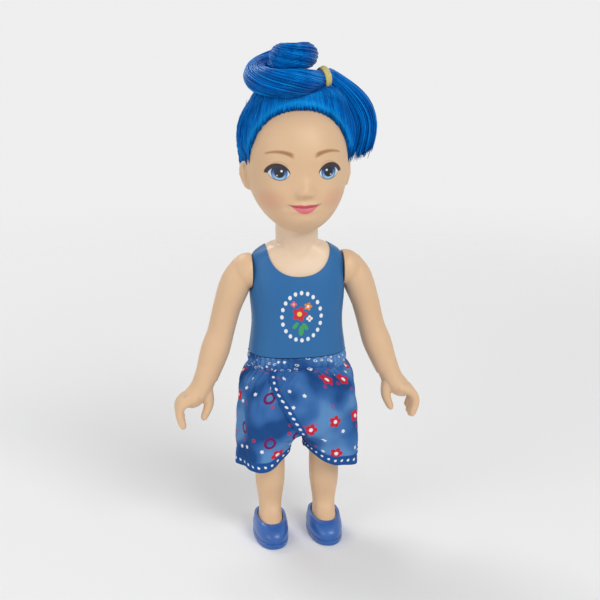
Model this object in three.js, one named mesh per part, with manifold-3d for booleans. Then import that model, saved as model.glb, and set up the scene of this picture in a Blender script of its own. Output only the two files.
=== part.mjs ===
// A miniature doll: hollow vinyl head with rooted hair tied up in a topknot, hollow two-part torso moulded
// as a sleeveless top, soft arms and legs that turn on flanged pegs, sewn cloth shorts and slip-on shoes.
// Millimetres, +Z up. The soles stand on z = 0, the doll faces -Y and its left hand is on the +X side.
import * as THREE from 'three';
import { mergeVertices } from 'three/addons/utils/BufferGeometryUtils.js';
import Module from 'manifold-3d';

const wasm = await Module();
wasm.setup();

// Heights, added up from the sole
const LEG_LENGTH = 49;
const HIP_TO_WAIST = 13;
const WAIST_TO_SHOULDER = 25;
const SHOULDER_TO_CHIN = 13.3;
const HEAD_HEIGHT = 36.8;

// Clearances and walls
const GAP = 0.3;
const SEAM_GAP = 0.3;
const TORSO_WALL = 1.4;
const HEAD_WALL = 1.6;

// Head and face
const HEAD_WIDTH = 30;
const FACE_DEPTH = 15.4;
const BACK_DEPTH = 15.6;
const CHIN_FORWARD = 9;
const CHEEK_LEVEL = 0.52;
const EYE_SPACING = 14.4;
const EYE_HEIGHT = 18.2;
const NOSE_HEIGHT = 12.9;
const NOSE_LENGTH = 2.5;
const MOUTH_HEIGHT = 8.4;
const MOUTH_WIDTH = 10;
const EAR_HEIGHT = 8.6;
const EAR_DEPTH = 5;
const EAR_LEVEL = 15.3;

// Neck joint
const NECK_RADIUS = 6.4;
const NECK_STEM_RADIUS = 4.9;
const NECK_KNOB_RADIUS = 6.3;
const NECK_SEAT_HEIGHT = 1.9;

// Hair
const HAIR_SIDE = 2.6;
const HAIR_TOP = 3.4;
const HAIRLINE_TOP = 35.6;
const HAIRLINE_SIDE = 20.4;
const HAIRLINE_FORWARD = 7.2;
const SIDEBURN_FORWARD = 3.2;
const NAPE_LINE = 7.4;
const BUN_SIDE = -4.4;
const BUN_LOOP = 8.2;
const BUN_INNER_LOOP = 2.6;
const BUN_STRAND = 3.7;
const BUN_PITCH = 7;
const BUN_TURNS = 1.5;
const BUN_TILT = 0.1;
const BUN_DRIFT = 1.8;
const BUN_LEAD = 7;
const BUN_RETURN = 2.1;
const GATHER_HEIGHT = 2;
const GATHER_RADIUS = 11;
const TAIL_ROOT_RADIUS = 2.4;
const TAIL_WIDTH = 7.6;
const TAIL_THICKNESS = 9.4;
const TAIL_REACH = 24.6;
const TAIL_DROP = 25;
const TAIL_TUCK = 2.2;
const ELASTIC_THICKNESS = 1.5;

// Torso
const WAIST_WIDTH = 29.6;
const WAIST_DEPTH = 20.6;
const RIB_WIDTH = 27.6;
const CHEST_WIDTH = 28.8;
const CHEST_DEPTH = 18.4;
const SHOULDER_WIDTH = 29;
const SHOULDER_DEPTH = 16.6;
const SHOULDER_RISE = 8.6;
const SHOULDER_RECESS = 0.9;
const WAIST_STEP = 1.5;
const NECKLINE_WIDTH = 19.2;
const NECKLINE_DROP = 0.6;
const BACK_NECKLINE_RISE = 3.4;
const NECKLINE_STEP = 0.45;
const PELVIS_WIDTH = 12.4;
const PELVIS_DEPTH = 17;
const PELVIS_DROP = 10.5;
const POST_RADIUS = 2.2;
const PIN_RADIUS = 1.1;
const PIN_LENGTH = 4;

// Pegs that carry the arms and legs
const PEG_RADIUS = 2.2;
const PEG_CLEARANCE = 0.3;
const FLANGE_RADIUS = 3.5;
const FLANGE_THICKNESS = 1.4;

// Arms
const ARM_RADIUS = 4.3;
const SHOULDER_RADIUS = 5.3;
const WRIST_RADIUS = 3.5;
const ELBOW_OUT = 9.8;
const ELBOW_DROP = 20.3;
const WRIST_OUT = 14.3;
const WRIST_DROP = 33;
const WRIST_FORWARD = 1.6;
const HAND_LENGTH = 15.7;
const HAND_SPREAD = 9.8;
const FINGER_RADIUS = 1.3;
const FINGER_SHORTENING = [0.7, 0, 0.3, 1.4];
const THUMB_RADIUS = 1.3;
const GRIP_SLOT = 3.2;

// Legs and shoes
const HIP_RADIUS = 8.2;
const THIGH_WIDTH = 10;
const KNEE_WIDTH = 9.2;
const KNEE_HEIGHT = 27;
const CALF_WIDTH = 9;
const ANKLE_WIDTH = 7;
const ANKLE_HEIGHT = 10;
const LEG_SPREAD = 8.6;
const FOOT_LENGTH = 17.5;
const FOOT_WIDTH = 8.4;
const FOOT_BACK = 6.6;
const SOLE_THICKNESS = 1.6;
const SHOE_WALL = 0.9;
const SHOE_HEIGHT = 6.6;

// Shorts
const WAISTBAND_HEIGHT = 4.2;
const WAISTBAND_THICKNESS = 1;
const GATHERS = 22;
const GATHER_DEPTH = 0.3;
const SHORTS_WIDTH = 37.6;
const SHORTS_DEPTH = 25.4;
const SHORTS_HEM = 26;
const SHORTS_CROTCH = 35;
const HEM_GAP = 5;
const HEM_DEPTH = 20.6;
const CLOTH = 0.7;
const FOLDS = 7;
const FOLD_DEPTH = 0.6;

// Colours
const SKIN = 0xe6c29c;
const NECK_SKIN = 0xe8c8a6;
const HAIR = 0x0f6cc0;
const ELASTIC = 0xe0c062;
const TOP = 0x2f72b4;
const CLOTH_BLUE = 0x2a62ac;
const SHOE_BLUE = 0x2c66b4;

// Worked-out heights and places
const hipZ = LEG_LENGTH;
const waistZ = hipZ + HIP_TO_WAIST;
const shoulderZ = waistZ + WAIST_TO_SHOULDER;
const chinZ = shoulderZ + SHOULDER_TO_CHIN;
const armFaceX = SHOULDER_WIDTH / 2 - SHOULDER_RECESS + GAP;
const legFaceX = PELVIS_WIDTH / 2 + GAP;
const far = 200;

// Solid helpers

// Turns rings of points, bottom to top and counter-clockwise from above, into a closed skin
function loft(rings) {
	const count = rings[0].length;
	const points = rings.flat();
	const faces = [];
	for (let level = 0; level + 1 < rings.length; level++) {
		for (let i = 0; i < count; i++) {
			const a = level * count + i;
			const b = level * count + (i + 1) % count;
			faces.push(a, b, b + count, a, b + count, a + count);
		}
	}
	const bottom = points.length;
	const top = bottom + 1;
	const start = (rings.length - 1) * count;
	points.push(centreOf(rings[0]), centreOf(rings.at(-1)));
	for (let i = 0; i < count; i++) {
		const next = (i + 1) % count;
		faces.push(bottom, next, i, top, start + i, start + next);
	}
	const geometry = new THREE.BufferGeometry().setFromPoints(points);
	geometry.setIndex(faces);
	return geometry;
}

function centreOf(ring) {
	const sum = new THREE.Vector3();
	ring.forEach((point) => sum.add(point));
	return sum.divideScalar(ring.length);
}

// A closed manifold of a geometry, with shared points merged and flat slivers left out
function solid(geometry) {
	const bare = geometry.clone();
	bare.deleteAttribute('normal');
	bare.deleteAttribute('uv');
	const merged = mergeVertices(bare, 1e-4);
	const index = merged.index.array;
	const kept = [];
	for (let i = 0; i < index.length; i += 3) {
		const [a, b, c] = index.slice(i, i + 3);
		if (a !== b && b !== c && c !== a) kept.push(a, b, c);
	}
	return new wasm.Manifold(new wasm.Mesh({
		numProp: 3,
		vertProperties: new Float32Array(merged.attributes.position.array),
		triVerts: new Uint32Array(kept),
	}));
}

function geometryOf(manifold) {
	const mesh = manifold.getMesh();
	const geometry = new THREE.BufferGeometry();
	geometry.setAttribute('position', new THREE.BufferAttribute(new Float32Array(mesh.vertProperties), 3));
	geometry.setIndex(Array.from(mesh.triVerts));
	return geometry;
}

function mirrored(geometry) {
	const copy = geometry.clone().scale(-1, 1, 1);
	const index = Array.from(copy.index.array);
	for (let i = 0; i < index.length; i += 3) [index[i], index[i + 1]] = [index[i + 1], index[i]];
	copy.setIndex(index);
	return copy;
}

function part(name, geometry, colour, roughness) {
	const material = new THREE.MeshStandardMaterial({ color: colour, roughness, metalness: 0 });
	geometry.computeVertexNormals();
	const mesh = new THREE.Mesh(geometry, material);
	mesh.name = name;
	return mesh;
}

const power = (value, exponent) => Math.sign(value) * Math.abs(value) ** exponent;

// A level loop: half width across, front towards -Y and back towards +Y, both from the line y = 0
function levelRing(z, halfWidth, front, back, { x = 0, squareness = 2, count = 40, ripple = () => 0 } = {}) {
	const ring = [];
	for (let i = 0; i < count; i++) {
		const angle = i / count * 2 * Math.PI;
		const cos = power(Math.cos(angle), 2 / squareness);
		const sin = power(Math.sin(angle), 2 / squareness);
		const push = ripple(angle, z);
		const depth = sin < 0 ? front : back;
		ring.push(new THREE.Vector3(x + (halfWidth + push) * cos, (depth + push) * sin, z));
	}
	return ring;
}

// Smooth values between a few levels, each level being [z, ...values]
function smooth(levels) {
	const heights = levels.map((level) => level[0]);
	const values = levels.flatMap((level) => level.slice(1));
	const width = levels[0].length - 1;
	const curve = new THREE.CubicInterpolant(heights, values, width);
	return (z) => Array.from(curve.evaluate(z));
}

function heights(from, to, steps) {
	return Array.from({ length: steps + 1 }, (_, i) => from + (to - from) * i / steps);
}

function cylinderX(radius, fromX, toX, y, z, sides = 16) {
	const shape = new THREE.CylinderGeometry(radius, radius, toX - fromX, sides);
	return solid(shape.rotateZ(-Math.PI / 2).translate((fromX + toX) / 2, y, z));
}

function cylinderY(radius, fromY, toY, x, z, sides = 8) {
	const shape = new THREE.CylinderGeometry(radius, radius, toY - fromY, sides);
	return solid(shape.translate(x, (fromY + toY) / 2, z));
}

function block(fromX, toX, fromY, toY, fromZ, toZ) {
	const shape = new THREE.BoxGeometry(toX - fromX, toY - fromY, toZ - fromZ);
	return solid(shape.translate((fromX + toX) / 2, (fromY + toY) / 2, (fromZ + toZ) / 2));
}

function ellipsoid(radii, centre, columns = 12, rows = 8) {
	const shape = new THREE.SphereGeometry(1, columns, rows).scale(...radii);
	return solid(shape.translate(...centre));
}

// A rounded strand along a curve, with its width and thickness given along the way
function strand(curve, steps, sides, widthAt, thicknessAt, across) {
	const rings = [];
	for (let step = 0; step <= steps; step++) {
		const share = step / steps;
		const centre = curve.getPointAt(share);
		const along = curve.getTangentAt(share);
		const side = across.clone().addScaledVector(along, -across.dot(along)).normalize();
		const up = along.clone().cross(side);
		const ring = [];
		for (let i = 0; i < sides; i++) {
			const angle = i / sides * 2 * Math.PI;
			const reach = side.clone().multiplyScalar(Math.cos(angle) * widthAt(share));
			ring.push(reach.addScaledVector(up, Math.sin(angle) * thicknessAt(share)).add(centre));
		}
		rings.push(ring);
	}
	return loft(rings);
}

// Full in the middle and rounded at one or both ends of a strand
function rounded(share, startRound, endRound) {
	const start = startRound > 0 ? Math.min(1, share / startRound) : 1;
	const end = endRound > 0 ? Math.min(1, (1 - share) / endRound) : 1;
	return Math.sqrt(Math.max(0, 1 - (1 - start) ** 2)) * Math.sqrt(Math.max(0, 1 - (1 - end) ** 2));
}

// Head, in its own frame: the neck axis at x = y = 0 and the underside of the chin at z = 0

const cheekZ = HEAD_HEIGHT * CHEEK_LEVEL;
const JAW_POWER = 2.1;
const CHIN_POWER = 6;
const NAPE_POWER = 0.55;
const DOME_POWER = 2.3;
const HEAD_SQUARENESS = 2.15;
const FACE_ROWS = 25;
const FACE_SIDES = 34;
const SCALP_ROWS = 18;
const SCALP_SIDES = 32;

// The loop of the head at a share of its height, grown sideways and upwards
function headRing(share, side, top, count, relief, domePower = DOME_POWER) {
	const rise = Math.max(0, (share - CHEEK_LEVEL) / (1 - CHEEK_LEVEL));
	const fall = Math.max(0, (CHEEK_LEVEL - share) / CHEEK_LEVEL);
	const dome = Math.max(0, 1 - rise ** domePower) ** (1 / domePower);
	const jaw = Math.max(0, 1 - fall ** JAW_POWER);
	const chin = Math.max(0, 1 - fall ** CHIN_POWER);
	const halfWidth = (HEAD_WIDTH / 2 + side) * dome * Math.sqrt(jaw);
	const front = (CHIN_FORWARD + (FACE_DEPTH + side - CHIN_FORWARD) * Math.sqrt(chin)) * dome;
	const back = (-CHIN_FORWARD + (BACK_DEPTH + side + CHIN_FORWARD) * jaw ** NAPE_POWER) * dome;
	const z = cheekZ + rise * (HEAD_HEIGHT - cheekZ + top) - fall * (cheekZ + side);
	const ring = [];
	for (let i = 0; i < count; i++) {
		const even = i / count * 2 * Math.PI;
		const angle = even - 0.3 * Math.sin(even);
		const cos = power(Math.cos(angle), 2 / HEAD_SQUARENESS);
		const x = halfWidth * power(Math.sin(angle), 2 / HEAD_SQUARENESS);
		const y = (back - front) / 2 - (back + front) / 2 * cos;
		const facing = Math.sqrt(Math.max(0, Math.cos(angle)));
		ring.push(new THREE.Vector3(x, y - facing * relief(x, z), z));
	}
	return ring;
}

function hump(x, z, centreX, centreZ, wide, tall, height) {
	return height * Math.exp(-(((x - centreX) / wide) ** 2) - ((z - centreZ) / tall) ** 2);
}

// How far the face stands out from the plain egg of the head
function faceRelief(x, z) {
	const across = Math.abs(x);
	const eyeX = EYE_SPACING / 2;
	const lipReach = MOUTH_WIDTH / 2;
	const noseTall = z > NOSE_HEIGHT ? 3.6 : 1.7;
	let out = hump(x, z, 0, NOSE_HEIGHT, 2.1, noseTall, NOSE_LENGTH);
	out += hump(across, z, 1.7, NOSE_HEIGHT - 0.7, 1, 0.9, 0.5);
	out += hump(across, z, eyeX, EYE_HEIGHT, 5, 3.4, -0.8);
	out += hump(across, z, eyeX, EYE_HEIGHT, 3.6, 2.3, 0.6);
	out += hump(across, z, 8, NOSE_HEIGHT - 2, 4.6, 4, 0.8);
	out += hump(x, z, 0, MOUTH_HEIGHT + 0.9, lipReach * 0.85, 0.8, 0.8);
	out += hump(x, z, 0, MOUTH_HEIGHT - 0.9, lipReach * 0.7, 0.9, 0.9);
	out += hump(across, z, lipReach, MOUTH_HEIGHT + 0.3, 1.2, 1.2, -0.4);
	out += hump(x, z, 0, MOUTH_HEIGHT - 3.6, 4, 1.8, 0.7);
	return out;
}

// Shares of the head's height, closer together at the chin and the crown
function headShares(rows) {
	return heights(0, 1, rows).map((even) => (1 - Math.cos(Math.PI * even)) / 4 + even / 2);
}

const plain = () => 0;

function headSkin(side, top, rows, count, relief = plain) {
	return solid(loft(headShares(rows).map((share) => headRing(share, side, top, count, relief))));
}

function ear(side) {
	const centreX = side * (HEAD_WIDTH / 2 - 0.1);
	const centre = [centreX, 1.2, EAR_LEVEL];
	const shell = ellipsoid([1.9, EAR_DEPTH / 2, EAR_HEIGHT / 2], centre);
	const hollow = [centreX + side * 1.7, 0.6, EAR_LEVEL + 0.5];
	return shell.subtract(ellipsoid([0.9, EAR_DEPTH * 0.26, EAR_HEIGHT * 0.28], hollow, 8, 6));
}

const seatZ = NECK_SEAT_HEIGHT;
const chamberRadius = NECK_KNOB_RADIUS + GAP;
const collarRadius = Math.max(NECK_RADIUS + GAP, chamberRadius) + 0.9;

function neckLathe(profile, sides = 24) {
	const points = profile.map(([radius, z]) => new THREE.Vector2(radius, z));
	return solid(new THREE.LatheGeometry(points, sides).rotateX(Math.PI / 2));
}

function headShell() {
	const outside = headSkin(0, 0, FACE_ROWS, FACE_SIDES, faceRelief);
	const collar = neckLathe([[0, seatZ], [collarRadius, seatZ], [collarRadius, seatZ + 6], [0, seatZ + 6]]);
	const recess = neckLathe([[0, -far], [NECK_RADIUS + GAP, -far], [NECK_RADIUS + GAP, seatZ], [0, seatZ]]);
	const stemHole = NECK_STEM_RADIUS + PEG_CLEARANCE;
	const floor = seatZ + HEAD_WALL;
	const chamber = [[chamberRadius, floor], [chamberRadius, cheekZ], [0, cheekZ]];
	const opening = neckLathe([[0, 0], [stemHole, 0], [stemHole, floor], ...chamber]);
	const inside = headSkin(-HEAD_WALL, -HEAD_WALL, 10, 18).intersect(block(-far, far, -far, far, floor, far));
	const withEars = outside.add(collar).add(ear(1)).add(ear(-1));
	return withEars.subtract(recess).subtract(opening).subtract(inside);
}

// Hair, in the head's frame

// How far forward the hairline is at a height: furthest over the forehead, drawn back at the sideburns
function hairlineForward(z) {
	const share = Math.max(0, z - HAIRLINE_SIDE) / (HAIRLINE_TOP - HAIRLINE_SIDE);
	return SIDEBURN_FORWARD + (HAIRLINE_FORWARD - SIDEBURN_FORWARD) * Math.sqrt(share);
}

const napeY = BACK_DEPTH * 0.7;

// The bare part of the head: the face, the sides below a line over the ears, and the neck below the nape
function bareRegion() {
	const shape = new THREE.Shape();
	shape.moveTo(-far, -far);
	shape.lineTo(-far, far);
	for (const z of heights(HAIRLINE_TOP + 8, HAIRLINE_SIDE, 9)) shape.lineTo(-hairlineForward(z), z);
	shape.quadraticCurveTo(-SIDEBURN_FORWARD + 1, HAIRLINE_SIDE - 1, 2.5, HAIRLINE_SIDE - 0.6);
	shape.bezierCurveTo(6, HAIRLINE_SIDE - 1, 5, NAPE_LINE + 2, napeY, NAPE_LINE);
	shape.lineTo(far, NAPE_LINE);
	shape.lineTo(far, -far);
	const cut = new THREE.ExtrudeGeometry(shape, { depth: 2 * far, bevelEnabled: false, curveSegments: 6 });
	return solid(cut.rotateX(Math.PI / 2).rotateZ(Math.PI / 2).translate(-far, 0, 0));
}

const hairTopZ = HEAD_HEIGHT + GAP + HAIR_TOP;
const HAIR_DOME_POWER = 2.8;
const HAIR_EDGE = 0.2;
const HAIR_RISE = 5;

// How full the hair is at a place: thin along the hairline, full a little way above and behind it
function hairFullness(point) {
	const behind = (point.y + hairlineForward(point.z)) / HAIR_RISE;
	const low = THREE.MathUtils.smoothstep(point.y, 3, napeY);
	const above = (point.z - HAIRLINE_SIDE + (HAIRLINE_SIDE - NAPE_LINE) * low) / HAIR_RISE;
	return HAIR_EDGE + (1 - HAIR_EDGE) * THREE.MathUtils.smoothstep(Math.min(behind, above), -0.1, 1);
}

// Combed hair over the scalp, rising where it is drawn together under the knot
function hairMass(clear) {
	const rings = headShares(SCALP_ROWS).map((share) => {
		const side = GAP + clear;
		const scalp = headRing(share, side, side, SCALP_SIDES, plain);
		const full = headRing(share, HAIR_SIDE + side, HAIR_TOP + side, SCALP_SIDES, plain, HAIR_DOME_POWER);
		return scalp.map((point, i) => point.clone().lerp(full[i], hairFullness(point)));
	});
	const radius = GATHER_RADIUS + clear;
	const tall = 3 * GATHER_HEIGHT;
	const centre = [BUN_SIDE * 0.5, 1, hairTopZ + GATHER_HEIGHT - tall];
	return solid(loft(rings)).add(ellipsoid([radius, radius, tall + clear], centre, 20, 12));
}

const hairClear = hairMass(GAP);

function hairCap() {
	const scalp = headSkin(GAP, GAP, SCALP_ROWS, SCALP_SIDES);
	return hairMass(0).subtract(scalp).subtract(bareRegion());
}

const bunZ = hairTopZ + BUN_STRAND - 0.6;

// The middle line of the topknot: in from the elastic along the front, then round and up into a smaller loop
class BunCurve extends THREE.Curve {
	getPoint(share, target = new THREE.Vector3()) {
		const angle = share * BUN_TURNS * 2 * Math.PI;
		const front = Math.PI / 2;
		const turned = Math.max(angle, front);
		const lead = Math.max(0, front - angle);
		const loop = BUN_LOOP + (BUN_INNER_LOOP - BUN_LOOP) * share ** 2;
		const climb = BUN_PITCH * (turned + Math.cos(turned) - front) / (2 * Math.PI);
		const x = loop * Math.cos(turned) + BUN_LEAD * lead + BUN_DRIFT * share;
		target.set(x, -loop * Math.sin(turned) + BUN_RETURN * lead ** 2, climb);
		target.applyAxisAngle(new THREE.Vector3(1, 0, 0), BUN_TILT);
		return target.add(new THREE.Vector3(BUN_SIDE, 1, bunZ));
	}
}

const bunCurve = new BunCurve();

function bunRadius(share) {
	const pinch = TAIL_ROOT_RADIUS / BUN_STRAND;
	const full = pinch + (1 - pinch) * THREE.MathUtils.smoothstep(share, 0, 0.16);
	return BUN_STRAND * full * (1 - 0.1 * share) * Math.max(0.15, rounded(share, 0, 0.08));
}

// The least distance between the skins of two turns of the topknot
function leastGap(curve, radiusAt, turns) {
	const steps = 160;
	let least = Infinity;
	for (let i = 0; i <= steps; i++) {
		for (let j = i + Math.round(steps / turns / 2); j <= steps; j++) {
			const apart = curve.getPointAt(i / steps).distanceTo(curve.getPointAt(j / steps));
			least = Math.min(least, apart - radiusAt(i / steps) - radiusAt(j / steps));
		}
	}
	return least;
}

function hairBun() {
	console.log(`topknot, least gap between turns: ${leastGap(bunCurve, bunRadius, BUN_TURNS).toFixed(2)} mm`);
	const hank = strand(bunCurve, 36, 9, bunRadius, bunRadius, new THREE.Vector3(0, 0, 1));
	return solid(hank).subtract(hairClear);
}

const tailStart = bunCurve.getPointAt(0).addScaledVector(bunCurve.getTangentAt(0), -GAP);

function tailCurve() {
	const reach = TAIL_REACH - TAIL_THICKNESS / 2;
	const away = reach - tailStart.x;
	const leave = bunCurve.getTangentAt(0).multiplyScalar(-away * 0.3);
	return new THREE.CatmullRomCurve3([
		tailStart,
		tailStart.clone().add(leave),
		new THREE.Vector3(tailStart.x + away * 0.72, 2.4, tailStart.z - TAIL_DROP * 0.24),
		new THREE.Vector3(reach, 3.4, tailStart.z - TAIL_DROP * 0.55),
		new THREE.Vector3(reach - TAIL_TUCK, 3.8, tailStart.z - TAIL_DROP),
	]);
}

function hairTail() {
	const spread = (share) => THREE.MathUtils.smoothstep(share, 0.12, 0.55);
	const thickness = (share) => TAIL_ROOT_RADIUS + (TAIL_THICKNESS / 2 - TAIL_ROOT_RADIUS) * spread(share);
	const width = (share) => TAIL_ROOT_RADIUS + (TAIL_WIDTH / 2 - TAIL_ROOT_RADIUS) * spread(share);
	const ending = (share) => Math.max(0.3, rounded(share, 0, 0.16));
	const hank = strand(tailCurve(), 16, 12, (share) => width(share) * ending(share),
		(share) => thickness(share) * ending(share), new THREE.Vector3(0, 1, 0));
	return solid(hank).subtract(hairClear);
}

function hairElastic() {
	const radius = TAIL_ROOT_RADIUS + GAP + ELASTIC_THICKNESS / 2;
	const ring = new THREE.TorusGeometry(radius, ELASTIC_THICKNESS / 2, 6, 18);
	const curve = tailCurve();
	const along = curve.getTangentAt(0.05);
	ring.lookAt(along).translate(...curve.getPointAt(0.05).toArray());
	return solid(ring).subtract(hairClear);
}

// Torso, in the doll's frame

const ribZ = waistZ + WAIST_TO_SHOULDER * 0.36;
const chestZ = waistZ + WAIST_TO_SHOULDER * 0.74;
const slopeZ = shoulderZ + SHOULDER_RISE * 0.64;
const neckBaseZ = shoulderZ + SHOULDER_RISE;

// The moulded top as one full form, drawn in by an inset
function topForm(inset, rows, count) {
	const ribDepth = (WAIST_DEPTH + CHEST_DEPTH) / 2;
	const at = smooth([
		[waistZ, WAIST_WIDTH / 2, WAIST_DEPTH / 2, WAIST_DEPTH / 2],
		[ribZ, RIB_WIDTH / 2, ribDepth / 2 + 0.3, ribDepth / 2 - 0.5],
		[chestZ, CHEST_WIDTH / 2, CHEST_DEPTH / 2 + 0.3, CHEST_DEPTH / 2],
		[shoulderZ, SHOULDER_WIDTH / 2, SHOULDER_DEPTH / 2, SHOULDER_DEPTH / 2],
		[slopeZ, SHOULDER_WIDTH / 2 - 1.6, SHOULDER_DEPTH * 0.4, SHOULDER_DEPTH * 0.43],
		[neckBaseZ, NECK_RADIUS + 1.6, NECK_RADIUS - 0.4, NECK_RADIUS],
	]);
	const rings = heights(waistZ, neckBaseZ, rows).map((z) => {
		const [half, front, back] = at(z);
		const level = z === neckBaseZ ? z - inset : z;
		const shape = { squareness: 2.4, count };
		return levelRing(level, half - inset, front - inset, back - inset, shape);
	});
	return solid(loft(rings));
}

const drumZ = hipZ + HIP_RADIUS + 2 * GAP;
const drumHalfWidth = WAIST_WIDTH / 2 - WAIST_STEP;
const drumHalfDepth = WAIST_DEPTH / 2 - WAIST_STEP;

function column(fromZ, toZ, halfWidth, front, back, count, squareness) {
	const shape = { count, squareness };
	return solid(loft([fromZ, toZ].map((z) => levelRing(z, halfWidth, front, back, shape))));
}

// The block between the legs, rounded underneath about the hip axis so that the legs swing past it
function pelvis(inset) {
	const reach = PELVIS_DROP - inset;
	const half = PELVIS_WIDTH / 2 - inset;
	const depth = Math.min(PELVIS_DEPTH / 2 - inset, reach);
	const shape = { squareness: 3.4, count: 20 };
	const rings = heights(0.3, Math.asin(depth / reach), 3).map((angle) => {
		const reachY = reach * Math.sin(angle);
		return levelRing(hipZ - reach * Math.cos(angle), half, reachY, reachY, shape);
	});
	rings.push(levelRing(waistZ, half, depth, depth, shape));
	return solid(loft(rings));
}

// The neckline opening at the front or the back, as wide as the inner edges of the straps
function neckline(inset, bottom, backSide) {
	const half = NECKLINE_WIDTH / 2 - inset;
	const low = bottom + inset;
	const shoulder = neckBaseZ;
	const shape = new THREE.Shape();
	shape.moveTo(-half, far);
	shape.lineTo(-half, shoulder);
	shape.bezierCurveTo(-half, (shoulder + low) / 2, -half * 0.75, low, 0, low);
	shape.bezierCurveTo(half * 0.75, low, half, (shoulder + low) / 2, half, shoulder);
	shape.lineTo(half, far);
	const cut = new THREE.ExtrudeGeometry(shape, { depth: far, bevelEnabled: false, curveSegments: 6 });
	return solid(cut.rotateX(Math.PI / 2).translate(0, backSide ? far : 0, 0));
}

function necklines(inset) {
	const front = neckline(inset, shoulderZ - NECKLINE_DROP, false);
	return front.add(neckline(inset, shoulderZ + BACK_NECKLINE_RISE, true));
}

const bossInnerX = armFaceX - GAP - TORSO_WALL - 1;
const holeRadius = PEG_RADIUS + PEG_CLEARANCE;

// The whole hollow torso, before it is split into front and back
function torsoShell() {
	const drum = column(drumZ, waistZ + GAP, drumHalfWidth, drumHalfDepth, drumHalfDepth, 28, 2.4);
	const outside = topForm(0, 10, 28).add(drum).add(pelvis(0));
	const drumWall = [drumHalfWidth - TORSO_WALL, drumHalfDepth - TORSO_WALL];
	const drumHollow = column(drumZ + TORSO_WALL, waistZ + 3, drumWall[0], drumWall[1], drumWall[1], 16, 2.4);
	const topHollow = topForm(TORSO_WALL, 7, 16);
	const lift = block(-far, far, -far, far, waistZ + TORSO_WALL, far);
	const hollow = topHollow.intersect(lift).add(drumHollow).add(pelvis(TORSO_WALL));
	let shell = outside.subtract(hollow);
	for (const side of [-1, 1]) {
		const inner = Math.min(side * bossInnerX, side * (armFaceX - GAP));
		const outer = Math.max(side * bossInnerX, side * (armFaceX - GAP));
		const boss = cylinderX(FLANGE_RADIUS + 1, inner, outer, 0, shoulderZ);
		const pad = side > 0 ? [armFaceX - GAP, far] : [-far, -armFaceX + GAP];
		const bore = side > 0 ? [0, far] : [-far, 0];
		shell = shell.add(boss.intersect(outside));
		shell = shell.subtract(cylinderX(SHOULDER_RADIUS + 2 * GAP, pad[0], pad[1], 0, shoulderZ, 24));
		shell = shell.subtract(cylinderX(holeRadius, bore[0], bore[1], 0, shoulderZ));
		shell = shell.subtract(cylinderX(holeRadius, bore[0], bore[1], 0, hipZ));
	}
	return { shell: shell.subtract(necklines(0)), outside };
}

const postHeights = [hipZ - PELVIS_DROP * 0.6, waistZ + WAIST_TO_SHOULDER * 0.2, waistZ + WAIST_TO_SHOULDER * 0.56];

function torsoHalves() {
	const { shell, outside } = torsoShell();
	const split = SEAM_GAP / 2;
	let front = shell.intersect(block(-far, far, -far, -split, -far, far));
	let back = shell.intersect(block(-far, far, split, far, -far, far));
	for (const z of postHeights) {
		front = front.add(cylinderY(POST_RADIUS, -far, -split, 0, z).intersect(outside));
		back = back.add(cylinderY(POST_RADIUS, split, far, 0, z).intersect(outside));
	}
	for (const z of postHeights) {
		front = front.add(cylinderY(PIN_RADIUS, -split - 1, PIN_LENGTH, 0, z));
		back = back.subtract(cylinderY(PIN_RADIUS + GAP / 2, -1, PIN_LENGTH + GAP, 0, z));
	}
	return { front, back };
}

// The neck and chest piece: a core behind the top, the skin that shows in the neckline, and the neck's knob
function neckInsert() {
	const flangeInnerX = bossInnerX - GAP - FLANGE_THICKNESS;
	const coreHalf = flangeInnerX - 2 * GAP;
	const coreBottom = shoulderZ - NECKLINE_DROP - 2.2;
	const core = topForm(TORSO_WALL + GAP, 7, 16);
	const keep = block(-coreHalf, coreHalf, -far, far, coreBottom, far);
	const skin = topForm(NECKLINE_STEP, 10, 28).intersect(necklines(GAP));
	const neckRootZ = neckBaseZ - SHOULDER_RISE * 0.25;
	const seat = chinZ + seatZ;
	const stemTop = seat + HEAD_WALL + GAP;
	const neck = neckLathe([
		[0, neckRootZ], [NECK_RADIUS + 0.5, neckRootZ], [NECK_RADIUS + 0.5, neckBaseZ], [NECK_RADIUS, neckBaseZ + 3],
		[NECK_RADIUS, seat - GAP], [NECK_STEM_RADIUS, seat - GAP], [NECK_STEM_RADIUS, stemTop],
		[NECK_KNOB_RADIUS, stemTop], [NECK_KNOB_RADIUS, stemTop + 1.6], [NECK_STEM_RADIUS, stemTop + 4.4],
		[0, stemTop + 5],
	]);
	return core.intersect(keep).add(skin).add(neck);
}

// Arms, in a frame whose origin is on the shoulder axis at the arm's flat inner face, for the left side

// A flanged peg along -X, starting inside the limb
function peg(wall) {
	const shaft = cylinderX(PEG_RADIUS, -wall - GAP * 2, 2, 0, 0);
	const head = new THREE.CylinderGeometry(FLANGE_RADIUS, FLANGE_RADIUS * 0.75, FLANGE_THICKNESS, 16);
	const flange = solid(head.rotateZ(-Math.PI / 2).translate(-wall - GAP * 2 - FLANGE_THICKNESS / 2, 0, 0));
	return shaft.add(flange);
}

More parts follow.
